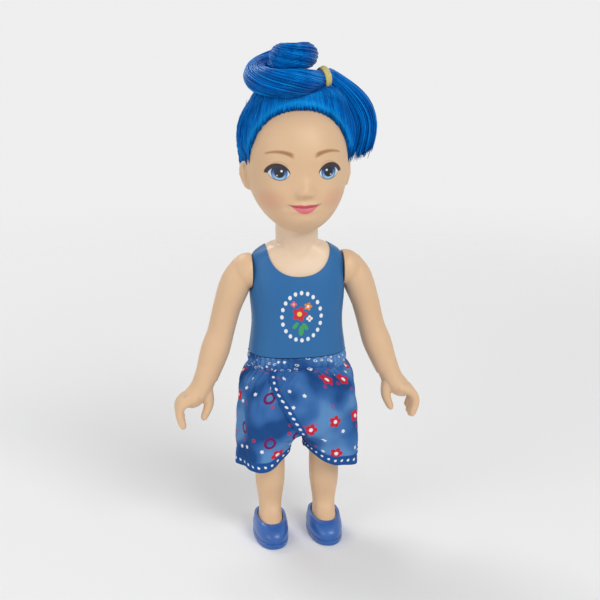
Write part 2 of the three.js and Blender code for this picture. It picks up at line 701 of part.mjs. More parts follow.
function armStrand() {
	const curve = new THREE.CatmullRomCurve3([
		new THREE.Vector3(SHOULDER_RADIUS * 0.4, 0, SHOULDER_RADIUS * 0.45),
		new THREE.Vector3(SHOULDER_RADIUS * 0.72, 0, -SHOULDER_RADIUS * 0.3),
		new THREE.Vector3(ELBOW_OUT * 0.72, 0.2, -ELBOW_DROP * 0.5),
		new THREE.Vector3(ELBOW_OUT, 0.2, -ELBOW_DROP),
		new THREE.Vector3((ELBOW_OUT + WRIST_OUT) / 2, -WRIST_FORWARD * 0.4, -(ELBOW_DROP + WRIST_DROP) / 2),
		new THREE.Vector3(WRIST_OUT, -WRIST_FORWARD, -WRIST_DROP),
	]);
	const thickness = smooth([
		[0, SHOULDER_RADIUS * 0.6], [0.14, ARM_RADIUS * 1.06], [0.4, ARM_RADIUS * 0.98], [0.6, ARM_RADIUS * 0.95],
		[0.75, ARM_RADIUS * 1.02], [1, WRIST_RADIUS],
	]);
	const radius = (share) => thickness(share)[0];
	return solid(strand(curve, 13, 12, radius, radius, new THREE.Vector3(0, 1, 0)));
}

// Palm, four fingers side by side and a thumb that leaves a slot to grip with
function hand() {
	const knuckleOut = WRIST_OUT + HAND_SPREAD;
	const knuckleZ = -WRIST_DROP - HAND_LENGTH * 0.63;
	const tipZ = -WRIST_DROP - HAND_LENGTH;
	const across = FINGER_RADIUS * 1.7;
	const middleY = -WRIST_FORWARD;
	const forward = new THREE.Vector3(0, 1, 0);
	const back = new THREE.CatmullRomCurve3([
		new THREE.Vector3(WRIST_OUT - 0.8, middleY, -WRIST_DROP + 3),
		new THREE.Vector3(WRIST_OUT + HAND_SPREAD * 0.2, middleY, -WRIST_DROP - HAND_LENGTH * 0.22),
		new THREE.Vector3(knuckleOut - FINGER_RADIUS * 2.4, middleY, knuckleZ + HAND_LENGTH * 0.1),
	]);
	const breadth = (share) => (WRIST_RADIUS + (across * 2.1 - WRIST_RADIUS) * share) * rounded(share, 0, 0.3);
	const thick = (share) => WRIST_RADIUS * (1 - 0.12 * share) * Math.max(0.35, rounded(share, 0, 0.3));
	let grip = solid(strand(back, 6, 12, (share) => Math.max(1, breadth(share)), thick, forward));
	FINGER_SHORTENING.forEach((shorter, finger) => {
		const y = middleY + (finger - 1.5) * across;
		const curl = new THREE.CatmullRomCurve3([
			new THREE.Vector3(WRIST_OUT + HAND_SPREAD * 0.3, y, -WRIST_DROP - HAND_LENGTH * 0.3),
			new THREE.Vector3(knuckleOut - FINGER_RADIUS * 1.7, y, knuckleZ + FINGER_RADIUS * 1.9),
			new THREE.Vector3(knuckleOut - FINGER_RADIUS, y, knuckleZ),
			new THREE.Vector3(knuckleOut - FINGER_RADIUS * 2, y, tipZ + shorter),
		]);
		const girth = (share) => FINGER_RADIUS * (1.15 - 0.25 * share) * Math.max(0.35, rounded(share, 0, 0.12));
		grip = grip.add(solid(strand(curl, 6, 6, girth, girth, forward)));
	});
	const thumbX = knuckleOut - FINGER_RADIUS * 3 - GRIP_SLOT - THUMB_RADIUS;
	const thumbY = middleY - across * 0.6;
	const thumb = new THREE.CatmullRomCurve3([
		new THREE.Vector3(WRIST_OUT + 0.3, thumbY + 0.4, -WRIST_DROP - HAND_LENGTH * 0.12),
		new THREE.Vector3(thumbX - 2, thumbY, -WRIST_DROP - HAND_LENGTH * 0.48),
		new THREE.Vector3(thumbX, thumbY, -WRIST_DROP - HAND_LENGTH * 0.84),
	]);
	const girth = (share) => THUMB_RADIUS * (1.6 - 0.8 * share) * Math.max(0.35, rounded(share, 0.1, 0.14));
	return grip.add(solid(strand(thumb, 6, 8, girth, girth, forward)));
}

function arm() {
	const radii = [SHOULDER_RADIUS * 0.95, SHOULDER_RADIUS, SHOULDER_RADIUS];
	const cap = ellipsoid(radii, [SHOULDER_RADIUS * 0.2, 0, 0], 16, 10);
	const outside = block(0, far, -far, far, -far, far);
	const flesh = cap.add(armStrand()).add(hand()).intersect(outside);
	return flesh.add(peg(TORSO_WALL + 1));
}

// Legs, in a frame whose origin is on the hip axis at the leg's flat inner face, for the left side

const ankleZ = ANKLE_HEIGHT - LEG_LENGTH;
const soleTopZ = SOLE_THICKNESS + GAP - LEG_LENGTH;
const legX = LEG_SPREAD - legFaceX;
const toeY = FOOT_LENGTH - FOOT_BACK;

// Half width, front and back of the leg and foot at each level, all grown alike
function legForm(grow) {
	const thighX = THIGH_WIDTH / 2;
	const kneeZ = KNEE_HEIGHT - LEG_LENGTH;
	const calfZ = (kneeZ + ankleZ) / 2;
	const at = smooth([
		[soleTopZ, legX, FOOT_WIDTH / 2 - 0.5, toeY - 0.6, FOOT_BACK - 0.6],
		[soleTopZ + 1.6, legX, FOOT_WIDTH / 2, toeY, FOOT_BACK],
		[soleTopZ + 4.2, legX, FOOT_WIDTH / 2 - 0.5, toeY * 0.72, FOOT_BACK - 0.6],
		[ankleZ, legX, ANKLE_WIDTH / 2, ANKLE_WIDTH * 0.52, ANKLE_WIDTH * 0.56],
		[calfZ, legX, CALF_WIDTH / 2, CALF_WIDTH * 0.48, CALF_WIDTH * 0.6],
		[kneeZ, legX, KNEE_WIDTH / 2, KNEE_WIDTH * 0.56, KNEE_WIDTH * 0.54],
		[-HIP_RADIUS - 5, (legX + thighX) / 2, THIGH_WIDTH * 0.53, HIP_RADIUS * 0.8, HIP_RADIUS * 0.86],
		[-HIP_RADIUS * 0.5, thighX, THIGH_WIDTH / 2, HIP_RADIUS * 0.9, HIP_RADIUS * 0.93],
	]);
	const levels = [...heights(soleTopZ, ankleZ, 6), ...heights(ankleZ, -HIP_RADIUS * 0.5, 9).slice(1)];
	const rings = levels.map((z) => {
		const [x, half, front, back] = at(z);
		const level = z === soleTopZ ? z - grow : z;
		return levelRing(level, half + grow, front + grow, back + grow, { x, count: 18, squareness: 2.2 });
	});
	return solid(loft(rings));
}

// The round top of the thigh, turned about the hip axis and rounded on its outer face
function hipDisc() {
	const profile = [[0, 0], [HIP_RADIUS, 0], [HIP_RADIUS, THIGH_WIDTH * 0.45]];
	for (const share of [0.2, 0.4, 0.6, 0.8, 1]) {
		const angle = share * Math.PI / 2;
		profile.push([HIP_RADIUS * Math.cos(angle), THIGH_WIDTH * (0.45 + 0.5 * Math.sin(angle))]);
	}
	const points = profile.map(([radius, x]) => new THREE.Vector2(Math.max(0, radius), x));
	return solid(new THREE.LatheGeometry(points, 24).rotateZ(-Math.PI / 2));
}

function leg() {
	const pelvisReach = PELVIS_DROP + 2 * GAP;
	const beside = block(-far, 0, -far, far, -pelvisReach, far);
	const flesh = hipDisc().add(legForm(0)).subtract(beside);
	return flesh.add(peg(TORSO_WALL));
}

function shoe() {
	const floorZ = -LEG_LENGTH;
	const half = FOOT_WIDTH / 2 + GAP + SHOE_WALL;
	const front = toeY + GAP + SHOE_WALL;
	const back = FOOT_BACK + GAP + SHOE_WALL;
	const topZ = floorZ + SHOE_HEIGHT;
	const shape = { x: legX, count: 22, squareness: 2.3 };
	const outside = solid(loft([
		levelRing(floorZ, half - 0.5, front - 0.5, back - 0.5, shape),
		levelRing(floorZ + 0.5, half, front, back, shape),
		levelRing(floorZ + SOLE_THICKNESS, half, front, back, shape),
		levelRing(floorZ + SOLE_THICKNESS + 0.3, half - 0.2, front - 0.2, back - 0.2, shape),
		levelRing(floorZ + SHOE_HEIGHT * 0.55, half, front - 0.2, back, shape),
		levelRing(floorZ + SHOE_HEIGHT * 0.8, half - 0.3, front - 1.8, back - 0.1, shape),
		levelRing(topZ, half - 0.5, front - 4.2, back - 0.3, shape),
	]));
	const throat = solid(loft([floorZ + SHOE_HEIGHT * 0.72, topZ + 1].map((z) => levelRing(
		z, half - SHOE_WALL - 0.5, toeY * 0.5, FOOT_BACK, { x: legX, count: 18, squareness: 2.3 }))));
	return outside.subtract(legForm(GAP)).subtract(throat);
}

// Shorts, in the doll's frame

const bandTopZ = waistZ - GAP;
const bandBottomZ = bandTopZ - WAISTBAND_HEIGHT;

// A gathered ring round the drum of the waist
function waistband() {
	const inner = [drumHalfWidth + GAP, drumHalfDepth + GAP];
	const ripple = (angle) => GATHER_DEPTH * Math.cos(GATHERS * angle);
	const shape = { count: GATHERS * 3, squareness: 2.4, ripple };
	const swell = [0, 0.3, 0.3, 0];
	const outside = [0, 0.25, 0.75, 1].map((share, i) => {
		const out = WAISTBAND_THICKNESS + swell[i];
		return levelRing(bandBottomZ + WAISTBAND_HEIGHT * share, inner[0] + out, inner[1] + out, inner[1] + out, shape);
	});
	const hole = column(bandBottomZ - 1, bandTopZ + 1, inner[0], inner[1], inner[1], 40, 2.4);
	return solid(loft(outside)).subtract(hole);
}

const clothTopZ = bandBottomZ - GAP;

const hemInnerX = HEM_GAP / 2;
const seamX = SEAM_GAP / 2;

// One panel's outline at a level, for the left side: flat along the middle seam, or closed round the leg
function panelRing(z, inset, open, phase) {
	const bandHalf = drumHalfWidth + GAP + WAISTBAND_THICKNESS + 0.4;
	const bandDepth = drumHalfDepth + GAP + WAISTBAND_THICKNESS + 0.4;
	const half = SHORTS_WIDTH / 2;
	const depth = SHORTS_DEPTH / 2;
	const at = smooth([
		[SHORTS_HEM, (half + hemInnerX) / 2, half, HEM_DEPTH / 2, 2.2],
		[SHORTS_CROTCH, half * 0.52, half, depth * 0.93, 3],
		[(SHORTS_CROTCH + clothTopZ) / 2, half * 0.36, half - 0.6, depth, 7],
		[clothTopZ - 3, half * 0.22, (bandHalf + half) / 2, bandDepth + 1.4, 8],
		[clothTopZ, half * 0.2, bandHalf, bandDepth, 8],
	]);
	const [middle, outer, deep, flatness] = at(z);
	const below = Math.max(0, (SHORTS_CROTCH - z) / (SHORTS_CROTCH - SHORTS_HEM));
	const past = 4 * THREE.MathUtils.smoothstep(z, SHORTS_CROTCH, SHORTS_CROTCH + 3);
	const inner = seamX - past + (hemInnerX - seamX) * below ** 0.7 + (open ? -4 : inset);
	const down = (clothTopZ - z) / (clothTopZ - SHORTS_HEM);
	const count = FOLDS * 5;
	const ring = [];
	for (let i = 0; i < count; i++) {
		const angle = i / count * 2 * Math.PI;
		const cos = Math.cos(angle);
		const squareness = cos > 0 ? 2.2 : flatness;
		const loose = THREE.MathUtils.smoothstep(cos, -0.6, 0.3);
		const fold = FOLD_DEPTH * (0.3 + 0.7 * down) * loose * Math.sin(FOLDS * angle + phase + 1.2 * down);
		const reach = cos > 0 ? outer - inset + fold - middle : middle - inner;
		const x = middle + reach * power(cos, 2 / squareness);
		const y = (deep - inset + fold) * power(Math.sin(angle), 2 / squareness);
		ring.push(new THREE.Vector3(x, y, z));
	}
	return ring;
}

// A sewn panel of the shorts: half of the waist opening at the top, one leg opening at the hem
function shortsPanel(phase) {
	const outsideLevels = heights(SHORTS_HEM, clothTopZ, 9);
	const outside = solid(loft(outsideLevels.map((z) => panelRing(z, 0, false, phase))));
	const legLevels = [SHORTS_HEM - 1, ...heights(SHORTS_HEM, SHORTS_CROTCH, 3)];
	const bodyLevels = [...heights(SHORTS_CROTCH + CLOTH, clothTopZ, 6), clothTopZ + 1];
	const rings = legLevels.map((z) => panelRing(z, CLOTH, false, phase));
	rings.push(...bodyLevels.map((z) => panelRing(z, CLOTH, true, phase)));
	const leftOfSeam = block(seamX, far, -far, far, -far, far);
	return outside.intersect(leftOfSeam).subtract(solid(loft(rings)));
}

// The doll

const doll = new THREE.Group();

const head = new THREE.Group();
head.position.z = chinZ;
head.add(part('head_shell', geometryOf(headShell()), SKIN, 0.5));
head.add(part('hair_cap', geometryOf(hairCap()), HAIR, 0.45));
head.add(part('hair_bun', geometryOf(hairBun()), HAIR, 0.45));
head.add(part('hair_tail', geometryOf(hairTail()), HAIR, 0.45));
head.add(part('hair_elastic', geometryOf(hairElastic()), ELASTIC, 0.6));
doll.add(head);

const torso = new THREE.Group();
const halves = torsoHalves();
torso.add(part('torso_front', geometryOf(halves.front), TOP, 0.55));
torso.add(part('torso_back', geometryOf(halves.back), TOP, 0.55));
torso.add(part('neck_insert', geometryOf(neckInsert()), NECK_SKIN, 0.25));
torso.add(part('waistband', geometryOf(waistband()), CLOTH_BLUE, 0.9));
torso.add(part('shorts_left', geometryOf(shortsPanel(0)), CLOTH_BLUE, 0.9));
torso.add(part('shorts_right', mirrored(geometryOf(shortsPanel(2))), CLOTH_BLUE, 0.9));
doll.add(torso);

const armGeometry = geometryOf(arm());
const legGeometry = geometryOf(leg());
const shoeGeometry = geometryOf(shoe());
for (const side of ['left', 'right']) {
	const sign = side === 'left' ? 1 : -1;
	const facing = (geometry) => side === 'left' ? geometry.clone() : mirrored(geometry);
	const shoulder = new THREE.Group();
	shoulder.position.set(sign * armFaceX, 0, shoulderZ);
	shoulder.add(part(`arm_${side}`, facing(armGeometry), SKIN, 0.5));
	const hip = new THREE.Group();
	hip.position.set(sign * legFaceX, 0, hipZ);
	hip.add(part(`leg_${side}`, facing(legGeometry), SKIN, 0.5));
	hip.add(part(`shoe_${side}`, facing(shoeGeometry), SHOE_BLUE, 0.35));
	doll.add(shoulder, hip);
}

export default doll;
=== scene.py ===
"""A miniature doll with a topknot, a moulded top and cloth shorts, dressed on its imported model."""

import math

import bpy
import numpy as np
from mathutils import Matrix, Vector


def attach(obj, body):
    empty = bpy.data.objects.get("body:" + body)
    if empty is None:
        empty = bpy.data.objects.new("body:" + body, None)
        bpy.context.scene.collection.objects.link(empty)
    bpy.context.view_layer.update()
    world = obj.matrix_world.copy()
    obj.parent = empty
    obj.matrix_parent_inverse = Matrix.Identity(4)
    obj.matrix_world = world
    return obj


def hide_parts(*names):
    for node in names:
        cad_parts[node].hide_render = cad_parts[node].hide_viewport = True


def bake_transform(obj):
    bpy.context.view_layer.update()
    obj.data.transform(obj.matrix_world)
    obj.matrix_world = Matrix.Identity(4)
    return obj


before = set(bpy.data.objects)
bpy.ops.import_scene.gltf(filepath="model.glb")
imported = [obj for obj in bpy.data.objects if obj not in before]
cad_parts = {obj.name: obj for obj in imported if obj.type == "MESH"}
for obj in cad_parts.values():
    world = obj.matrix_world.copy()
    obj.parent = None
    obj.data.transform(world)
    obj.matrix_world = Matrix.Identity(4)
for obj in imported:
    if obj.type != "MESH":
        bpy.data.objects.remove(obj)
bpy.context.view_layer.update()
random = np.random.default_rng(7)

# Sizes in millimetres, the same as those of the solids
MM = 0.001
LEG_LENGTH = 49
HIP_TO_WAIST = 13
WAIST_TO_SHOULDER = 25
SHOULDER_TO_CHIN = 13.3
HEAD_HEIGHT = 36.8
GAP = 0.3
SEAM_GAP = 0.3

HEAD_WIDTH = 30
FACE_DEPTH = 15.4
BACK_DEPTH = 15.6
CHIN_FORWARD = 9
CHEEK_LEVEL = 0.52
EYE_SPACING = 14.4
EYE_HEIGHT = 18.2
NOSE_HEIGHT = 12.9
NOSE_LENGTH = 2.5
MOUTH_HEIGHT = 8.4
MOUTH_WIDTH = 10
EAR_HEIGHT = 8.6
EAR_DEPTH = 5
EAR_LEVEL = 15.3
JAW_POWER = 2.1
CHIN_POWER = 6
NAPE_POWER = 0.55
DOME_POWER = 2.3
HEAD_SQUARENESS = 2.15

NECK_RADIUS = 6.4
NECK_STEM_RADIUS = 4.9
NECK_KNOB_RADIUS = 6.3
NECK_SEAT_HEIGHT = 1.9
HEAD_WALL = 1.6

HAIR_SIDE = 2.6
HAIR_TOP = 3.4
HAIRLINE_TOP = 35.6
HAIRLINE_SIDE = 20.4
HAIRLINE_FORWARD = 7.2
SIDEBURN_FORWARD = 3.2
NAPE_LINE = 7.4
HAIR_DOME_POWER = 2.8
HAIR_EDGE = 0.2
HAIR_RISE = 5
BUN_SIDE = -4.4
BUN_LOOP = 8.2
BUN_INNER_LOOP = 2.6
BUN_STRAND = 3.7
BUN_PITCH = 7
BUN_TURNS = 1.5
BUN_TILT = 0.1
BUN_DRIFT = 1.8
BUN_LEAD = 7
BUN_RETURN = 2.1
GATHER_HEIGHT = 2
GATHER_RADIUS = 11
TAIL_ROOT_RADIUS = 2.4
TAIL_WIDTH = 7.6
TAIL_THICKNESS = 9.4
TAIL_REACH = 24.6
TAIL_DROP = 25
TAIL_TUCK = 2.2

WAIST_WIDTH = 29.6
WAIST_DEPTH = 20.6
RIB_WIDTH = 27.6
CHEST_WIDTH = 28.8
CHEST_DEPTH = 18.4
SHOULDER_WIDTH = 29
SHOULDER_DEPTH = 16.6
SHOULDER_RISE = 8.6
SHOULDER_RECESS = 0.9
WAIST_STEP = 1.5
NECKLINE_WIDTH = 19.2
NECKLINE_DROP = 0.6
BACK_NECKLINE_RISE = 3.4
NECKLINE_STEP = 0.45
PELVIS_WIDTH = 12.4
PELVIS_DEPTH = 17
PELVIS_DROP = 10.5
TORSO_WALL = 1.4

PEG_RADIUS = 2.2
PEG_CLEARANCE = 0.3
FLANGE_RADIUS = 3.5
FLANGE_THICKNESS = 1.4

ARM_RADIUS = 4.3
SHOULDER_RADIUS = 5.3
WRIST_RADIUS = 3.5
ELBOW_OUT = 9.8
ELBOW_DROP = 20.3
WRIST_OUT = 14.3
WRIST_DROP = 33
WRIST_FORWARD = 1.6
HAND_LENGTH = 15.7
HAND_SPREAD = 9.8
FINGER_RADIUS = 1.3
FINGER_SHORTENING = [0.7, 0, 0.3, 1.4]
THUMB_RADIUS = 1.3
GRIP_SLOT = 3.2

HIP_RADIUS = 8.2
THIGH_WIDTH = 10
KNEE_WIDTH = 9.2
KNEE_HEIGHT = 27
CALF_WIDTH = 9
ANKLE_WIDTH = 7
ANKLE_HEIGHT = 10
LEG_SPREAD = 8.6
FOOT_LENGTH = 17.5
FOOT_WIDTH = 8.4
FOOT_BACK = 6.6
SOLE_THICKNESS = 1.6
SHOE_WALL = 0.9
SHOE_HEIGHT = 6.6

WAISTBAND_HEIGHT = 4.2
WAISTBAND_THICKNESS = 1
GATHERS = 22
GATHER_DEPTH = 0.3
SHORTS_WIDTH = 37.6
SHORTS_DEPTH = 25.4
SHORTS_HEM = 26
SHORTS_CROTCH = 35
HEM_GAP = 5
HEM_DEPTH = 20.6
FOLD_DEPTH = 0.6

hip_z = LEG_LENGTH
waist_z = hip_z + HIP_TO_WAIST
shoulder_z = waist_z + WAIST_TO_SHOULDER
chin_z = shoulder_z + SHOULDER_TO_CHIN
cheek_z = HEAD_HEIGHT * CHEEK_LEVEL
arm_face_x = SHOULDER_WIDTH / 2 - SHOULDER_RECESS + GAP
leg_face_x = PELVIS_WIDTH / 2 + GAP
neck_base_z = shoulder_z + SHOULDER_RISE
CHIN = np.array([0, 0, chin_z])

# A length past any piece that is cut, the two sides, and the directions that strands lie across
FAR = 60
SIDES = (("left", 1), ("right", -1))
BACKWARD = (0, 1, 0)
UPWARD = (0, 0, 1)

# How finely the skins are fused, and below what distance points are welded
HEAD_GRAIN = 0.23
NECK_GRAIN = 0.22
ARM_GRAIN = 0.22
LEG_GRAIN = 0.3
WELD_DISTANCE = 0.001


# Numbers

def power(value, exponent):
    return np.sign(value) * np.abs(value) ** exponent


def smoothstep(value, low, high):
    share = np.clip((value - low) / (high - low), 0, 1)
    return share * share * (3 - 2 * share)


def unit(vectors):
    return vectors / np.maximum(np.linalg.norm(vectors, axis=-1, keepdims=True), 1e-9)


def turn(count):
    """Even angles round a full turn."""
    return np.arange(count) / count * 2 * math.pi


def points_at(x, y, z):
    """Points from their coordinates, any of which can be one number for all."""
    return np.stack(np.broadcast_arrays(x, y, z), -1)


def steps_of(line):
    """The lengths of a line's steps."""
    return np.linalg.norm(np.diff(line, axis=0), axis=1)


def way_along(line):
    """How far along a line each of its points is."""
    return np.concatenate([[0], np.cumsum(steps_of(line))])


def rounded(share, start_round, end_round):
    """Full in the middle and rounded at one or both ends of a strand."""
    start = np.minimum(1, share / start_round) if start_round > 0 else 1
    end = np.minimum(1, (1 - share) / end_round) if end_round > 0 else 1
    return np.sqrt(np.maximum(0, 1 - (1 - start) ** 2)) * np.sqrt(np.maximum(0, 1 - (1 - end) ** 2))


def cubic(start, end, leave, arrive, t):
    """From one value to another while t goes from 0 to 1, with the slopes at both ends."""
    bend = 3 * (end - start) - 2 * leave - arrive
    return start + leave * t + bend * t ** 2 + (2 * (start - end) + leave + arrive) * t ** 3


def bezier(a, b, c, d, t):
    """From a to d while t goes from 0 to 1, drawn towards b and then c."""
    return a * (1 - t) ** 3 + 3 * b * (1 - t) ** 2 * t + 3 * c * (1 - t) * t ** 2 + d * t ** 3


def tapered(size, start, change, least, start_round, end_round):
    """Half the girth of a strand that grows or narrows evenly and is rounded at its ends."""
    def at(share):
        return size * (start + change * share) * np.maximum(least, rounded(share, start_round, end_round))
    return at


def smooth(levels):
    """Smooth values between a few levels, each level being [z, *values]."""
    table = np.asarray(levels, float)
    places, values = table[:, 0], table[:, 1:]
    slopes = np.diff(values, axis=0) / np.diff(places)[:, None]
    slopes = np.vstack([slopes[0], (slopes[:-1] + slopes[1:]) / 2, slopes[-1]])

    def at(z):
        before = int(np.clip(np.searchsorted(places, z, side="right") - 1, 0, len(places) - 2))
        after = before + 1
        step = places[after] - places[before]
        leave, arrive = slopes[before] * step, slopes[after] * step
        return cubic(values[before], values[after], leave, arrive, (z - places[before]) / step)

    return at


class Path:
    """A line through space that is followed by the share of its length."""

    def __init__(self, points):
        self.points = np.asarray(points, float)
        self.lengths = way_along(self.points)

    def at(self, share):
        wanted = np.asarray(share) * self.lengths[-1]
        return np.stack([np.interp(wanted, self.lengths, self.points[:, axis]) for axis in range(3)], -1)

    def along(self, share, step=0.004):
        share = np.asarray(share, float)
        return unit(self.at(np.minimum(share + step, 1)) - self.at(np.maximum(share - step, 0)))

    def frame(self, share, across):
        """The two directions across the line, the first one near a given direction."""
        along = self.along(share)
        side = unit(across - along * (along @ across)[..., None])
        return side, np.cross(along, side)


def curve_through(points, samples=60):
    """A smooth curve through points, with its bends spread by the distances between them."""
    points = np.asarray(points, float)
    padded = np.vstack([2 * points[0] - points[1], points, 2 * points[-1] - points[-2]])
    steps = np.sqrt(steps_of(padded))
    line = []
    for i in range(1, len(padded) - 2):
        a, b, c, d = padded[i - 1:i + 3]
        first, middle, last = steps[i - 1:i + 2]
        leave = ((b - a) / first - (c - a) / (first + middle) + (c - b) / middle) * middle
        arrive = ((c - b) / middle - (d - b) / (middle + last) + (d - c) / last) * middle
        line.append(cubic(b, c, leave, arrive, np.linspace(0, 1, samples)[:, None]))
    return Path(np.vstack(line))


# Shapes, each one being points in millimetres and the faces between them

def walls(low, high):
    """Faces between lower and upper rings, which hold the numbers of their points."""
    beside_low, beside_high = np.roll(low, -1, axis=-1), np.roll(high, -1, axis=-1)
    return np.stack([low, beside_low, beside_high, high], -1).reshape(-1, 4).tolist()


def loft(rings):
    """A closed skin through rings, bottom to top and counter-clockwise from above."""
    rings = np.asarray(rings, float)
    levels, count = rings.shape[:2]
    index = np.arange(levels * count).reshape(levels, count)
    return rings.reshape(-1, 3), [*walls(index[:-1], index[1:]), index[0][::-1].tolist(), index[-1].tolist()]


def merged(*shapes):
    points = []
    faces = []
    start = 0
    for shape_points, shape_faces in shapes:
        points.append(shape_points)
        faces += [[corner + start for corner in face] for face in shape_faces]
        start += len(shape_points)
    return np.vstack(points), faces


def moved(shape, offset):
    return shape[0] + np.asarray(offset), shape[1]


def mirrored(shape):
    return shape[0] * [-1, 1, 1], [face[::-1] for face in shape[1]]


def level_ring(z, half, front, back, x=0, squareness=2, count=120, push=0):
    """A level loop: half its width across, and front and back measured from the line y = 0."""
    angle = turn(count)
    cos = power(np.cos(angle), 2 / squareness)
    sin = power(np.sin(angle), 2 / squareness)
    depth = np.where(sin < 0, front, back)
    return points_at(x + (half + push) * cos, (depth + push) * sin, z)


def lathe(profile, count=96):
    """A turned form about the z axis, from (radius, z) pairs."""
    angle = turn(count)
    return loft([points_at(radius * np.cos(angle), radius * np.sin(angle), z) for radius, z in profile])


def turned_x(shape):
    """Lays a form that was turned about z along the x axis."""
    points, faces = shape
    return points[:, [2, 0, 1]], faces


def cylinder_x(radius, from_x, to_x, z, count=64):
    shape = turned_x(lathe([(radius, from_x), (radius, to_x)], count))
    return moved(shape, (0, 0, z))


def block(low, high):
    x = (low[0], high[0], high[0], low[0])
    y = (low[1], low[1], high[1], high[1])
    return loft([points_at(x, y, z) for z in (low[2], high[2])])


def ellipsoid(radii, centre, count=48, rows=32):
    tilt = np.linspace(-math.pi / 2, math.pi / 2, rows)
    points, faces = lathe(np.stack([np.cos(tilt), np.sin(tilt)], -1), count)
    return points * radii + np.asarray(centre), faces


def strand(path, steps, sides, width, thickness, across):
    """A rounded strand along a path, its width and thickness given along the way."""
    share = np.linspace(0, 1, steps + 1)
    side, up = path.frame(share, np.asarray(across, float))
    angle = turn(sides)
    reach = side[:, None] * np.cos(angle)[:, None] * width(share)[:, None, None]
    reach = reach + up[:, None] * np.sin(angle)[:, None] * thickness(share)[:, None, None]
    return loft(path.at(share)[:, None] + reach)


def tubes(paths, radius, sides=4):
    """Thin hairs along many paths at once, narrowed at both ends."""
    paths = np.asarray(paths, float)
    count, steps = paths.shape[:2]
    along = unit(np.gradient(paths, axis=1))
    side = unit(np.cross(along, unit(np.array([0.83, 0.41, 0.38]))))
    up = np.cross(along, side)
    taper = 0.35 + 0.65 * rounded(np.linspace(0, 1, steps), 0.08, 0.15)
    girth = (np.broadcast_to(np.asarray(radius, float).reshape(-1, 1), (count, 1)) * taper)[:, :, None, None]
    angle = turn(sides)[:, None]
    ring = side[:, :, None] * np.cos(angle) + up[:, :, None] * np.sin(angle)
    index = np.arange(count * steps * sides).reshape(count, steps, sides)
    ends = np.concatenate([index[:, 0, ::-1], index[:, -1]])
    faces = [*walls(index[:, :-1], index[:, 1:]), *ends.tolist()]
    return (paths[:, :, None] + girth * ring).reshape(-1, 3), faces


# Blender objects

def new_object(name, shape):
    points, faces = shape
    mesh = bpy.data.meshes.new(name)
    mesh.from_pydata((np.asarray(points) * MM).tolist(), [], faces)
    mesh.shade_smooth()
    obj = bpy.data.objects.new(name, mesh)
    bpy.context.scene.collection.objects.link(obj)
    return obj


def settle(obj):
    """Applies a piece's modifiers to its mesh."""
    bpy.context.view_layer.update()
    graph = bpy.context.evaluated_depsgraph_get()
    mesh = bpy.data.meshes.new_from_object(obj.evaluated_get(graph))
    obj.modifiers.clear()
    worn = obj.data
    obj.data = mesh
    bpy.data.meshes.remove(worn)


def weld(obj):
    modifier = obj.modifiers.new("weld", "WELD")
    modifier.merge_threshold = WELD_DISTANCE * MM
    settle(obj)


def shape_with(obj, operation, shape):
    """Joins a shape to a piece, cuts it away or keeps what the two share."""
    tool = new_object("tool", shape)
    weld(tool)
    modifier = obj.modifiers.new("shape", "BOOLEAN")
    modifier.operation = operation
    modifier.solver = "MANIFOLD"
    modifier.object = tool
    settle(obj)
    bpy.data.objects.remove(tool)


def fuse(obj, grain, softening):
    """Melts overlapping shapes into one skin and softens it."""
    remesh = obj.modifiers.new("fuse", "REMESH")
    remesh.mode = "VOXEL"
    remesh.voxel_size = grain * MM
    remesh.use_smooth_shade = True
    soften = obj.modifiers.new("soften", "SMOOTH")
    soften.factor = 0.5
    soften.iterations = softening
    settle(obj)


def sharpen(obj, degrees=40):
    obj.data.shade_smooth()
    obj.data.set_sharp_from_angle(angle=math.radians(degrees))


def finish_piece(obj, body, node, material):
    obj.data.materials.clear()
    obj.data.materials.append(material)
    if body:
        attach(obj, body)
    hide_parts(node)


# Materials

def linear(*rgb):
    """A colour written as 0 to 255 screen values, as the shader takes it."""
    share = np.asarray(rgb) / 255
    straight = np.where(share <= 0.04045, share / 12.92, ((share + 0.055) / 1.055) ** 2.4)
    return (*straight.tolist(), 1)


class Field:
    """A number worked out over a surface by shader nodes, written as an ordinary sum."""

    def __init__(self, tree, socket):
        self.tree = tree
        self.socket = socket

    def math(self, operation, *others):
        node = self.tree.nodes.new("ShaderNodeMath")
        node.operation = operation
        for place, value in zip(node.inputs, (self, *others)):
            if isinstance(value, Field):
                self.tree.links.new(value.socket, place)
            else:
                place.default_value = value
        return Field(self.tree, node.outputs[0])

    def __add__(self, other):
        return self.math("ADD", other)

    def __sub__(self, other):
        return self.math("SUBTRACT", other)

    def __mul__(self, other):
        return self.math("MULTIPLY", other)

    def size(self):
        return self.math("ABSOLUTE")

    def least(self, other):
        return self.math("MINIMUM", other)

    def most(self, other):
        return self.math("MAXIMUM", other)

    def hypot(self, other):
        return (self * self + other * other).math("SQRT")

    def below(self, limit, soft):
        """1 below a limit and 0 above it, with a soft edge."""
        node = self.tree.nodes.new("ShaderNodeMapRange")
        node.interpolation_type = "SMOOTHSTEP"
        self.tree.links.new(self.socket, node.inputs["Value"])
        node.inputs["From Min"].default_value = limit - soft
        node.inputs["From Max"].default_value = limit + soft
        node.inputs["To Min"].default_value = 1
        node.inputs["To Max"].default_value = 0
        return Field(self.tree, node.outputs["Result"])

    def above(self, limit, soft):
        return self.below(limit, soft) * -1 + 1


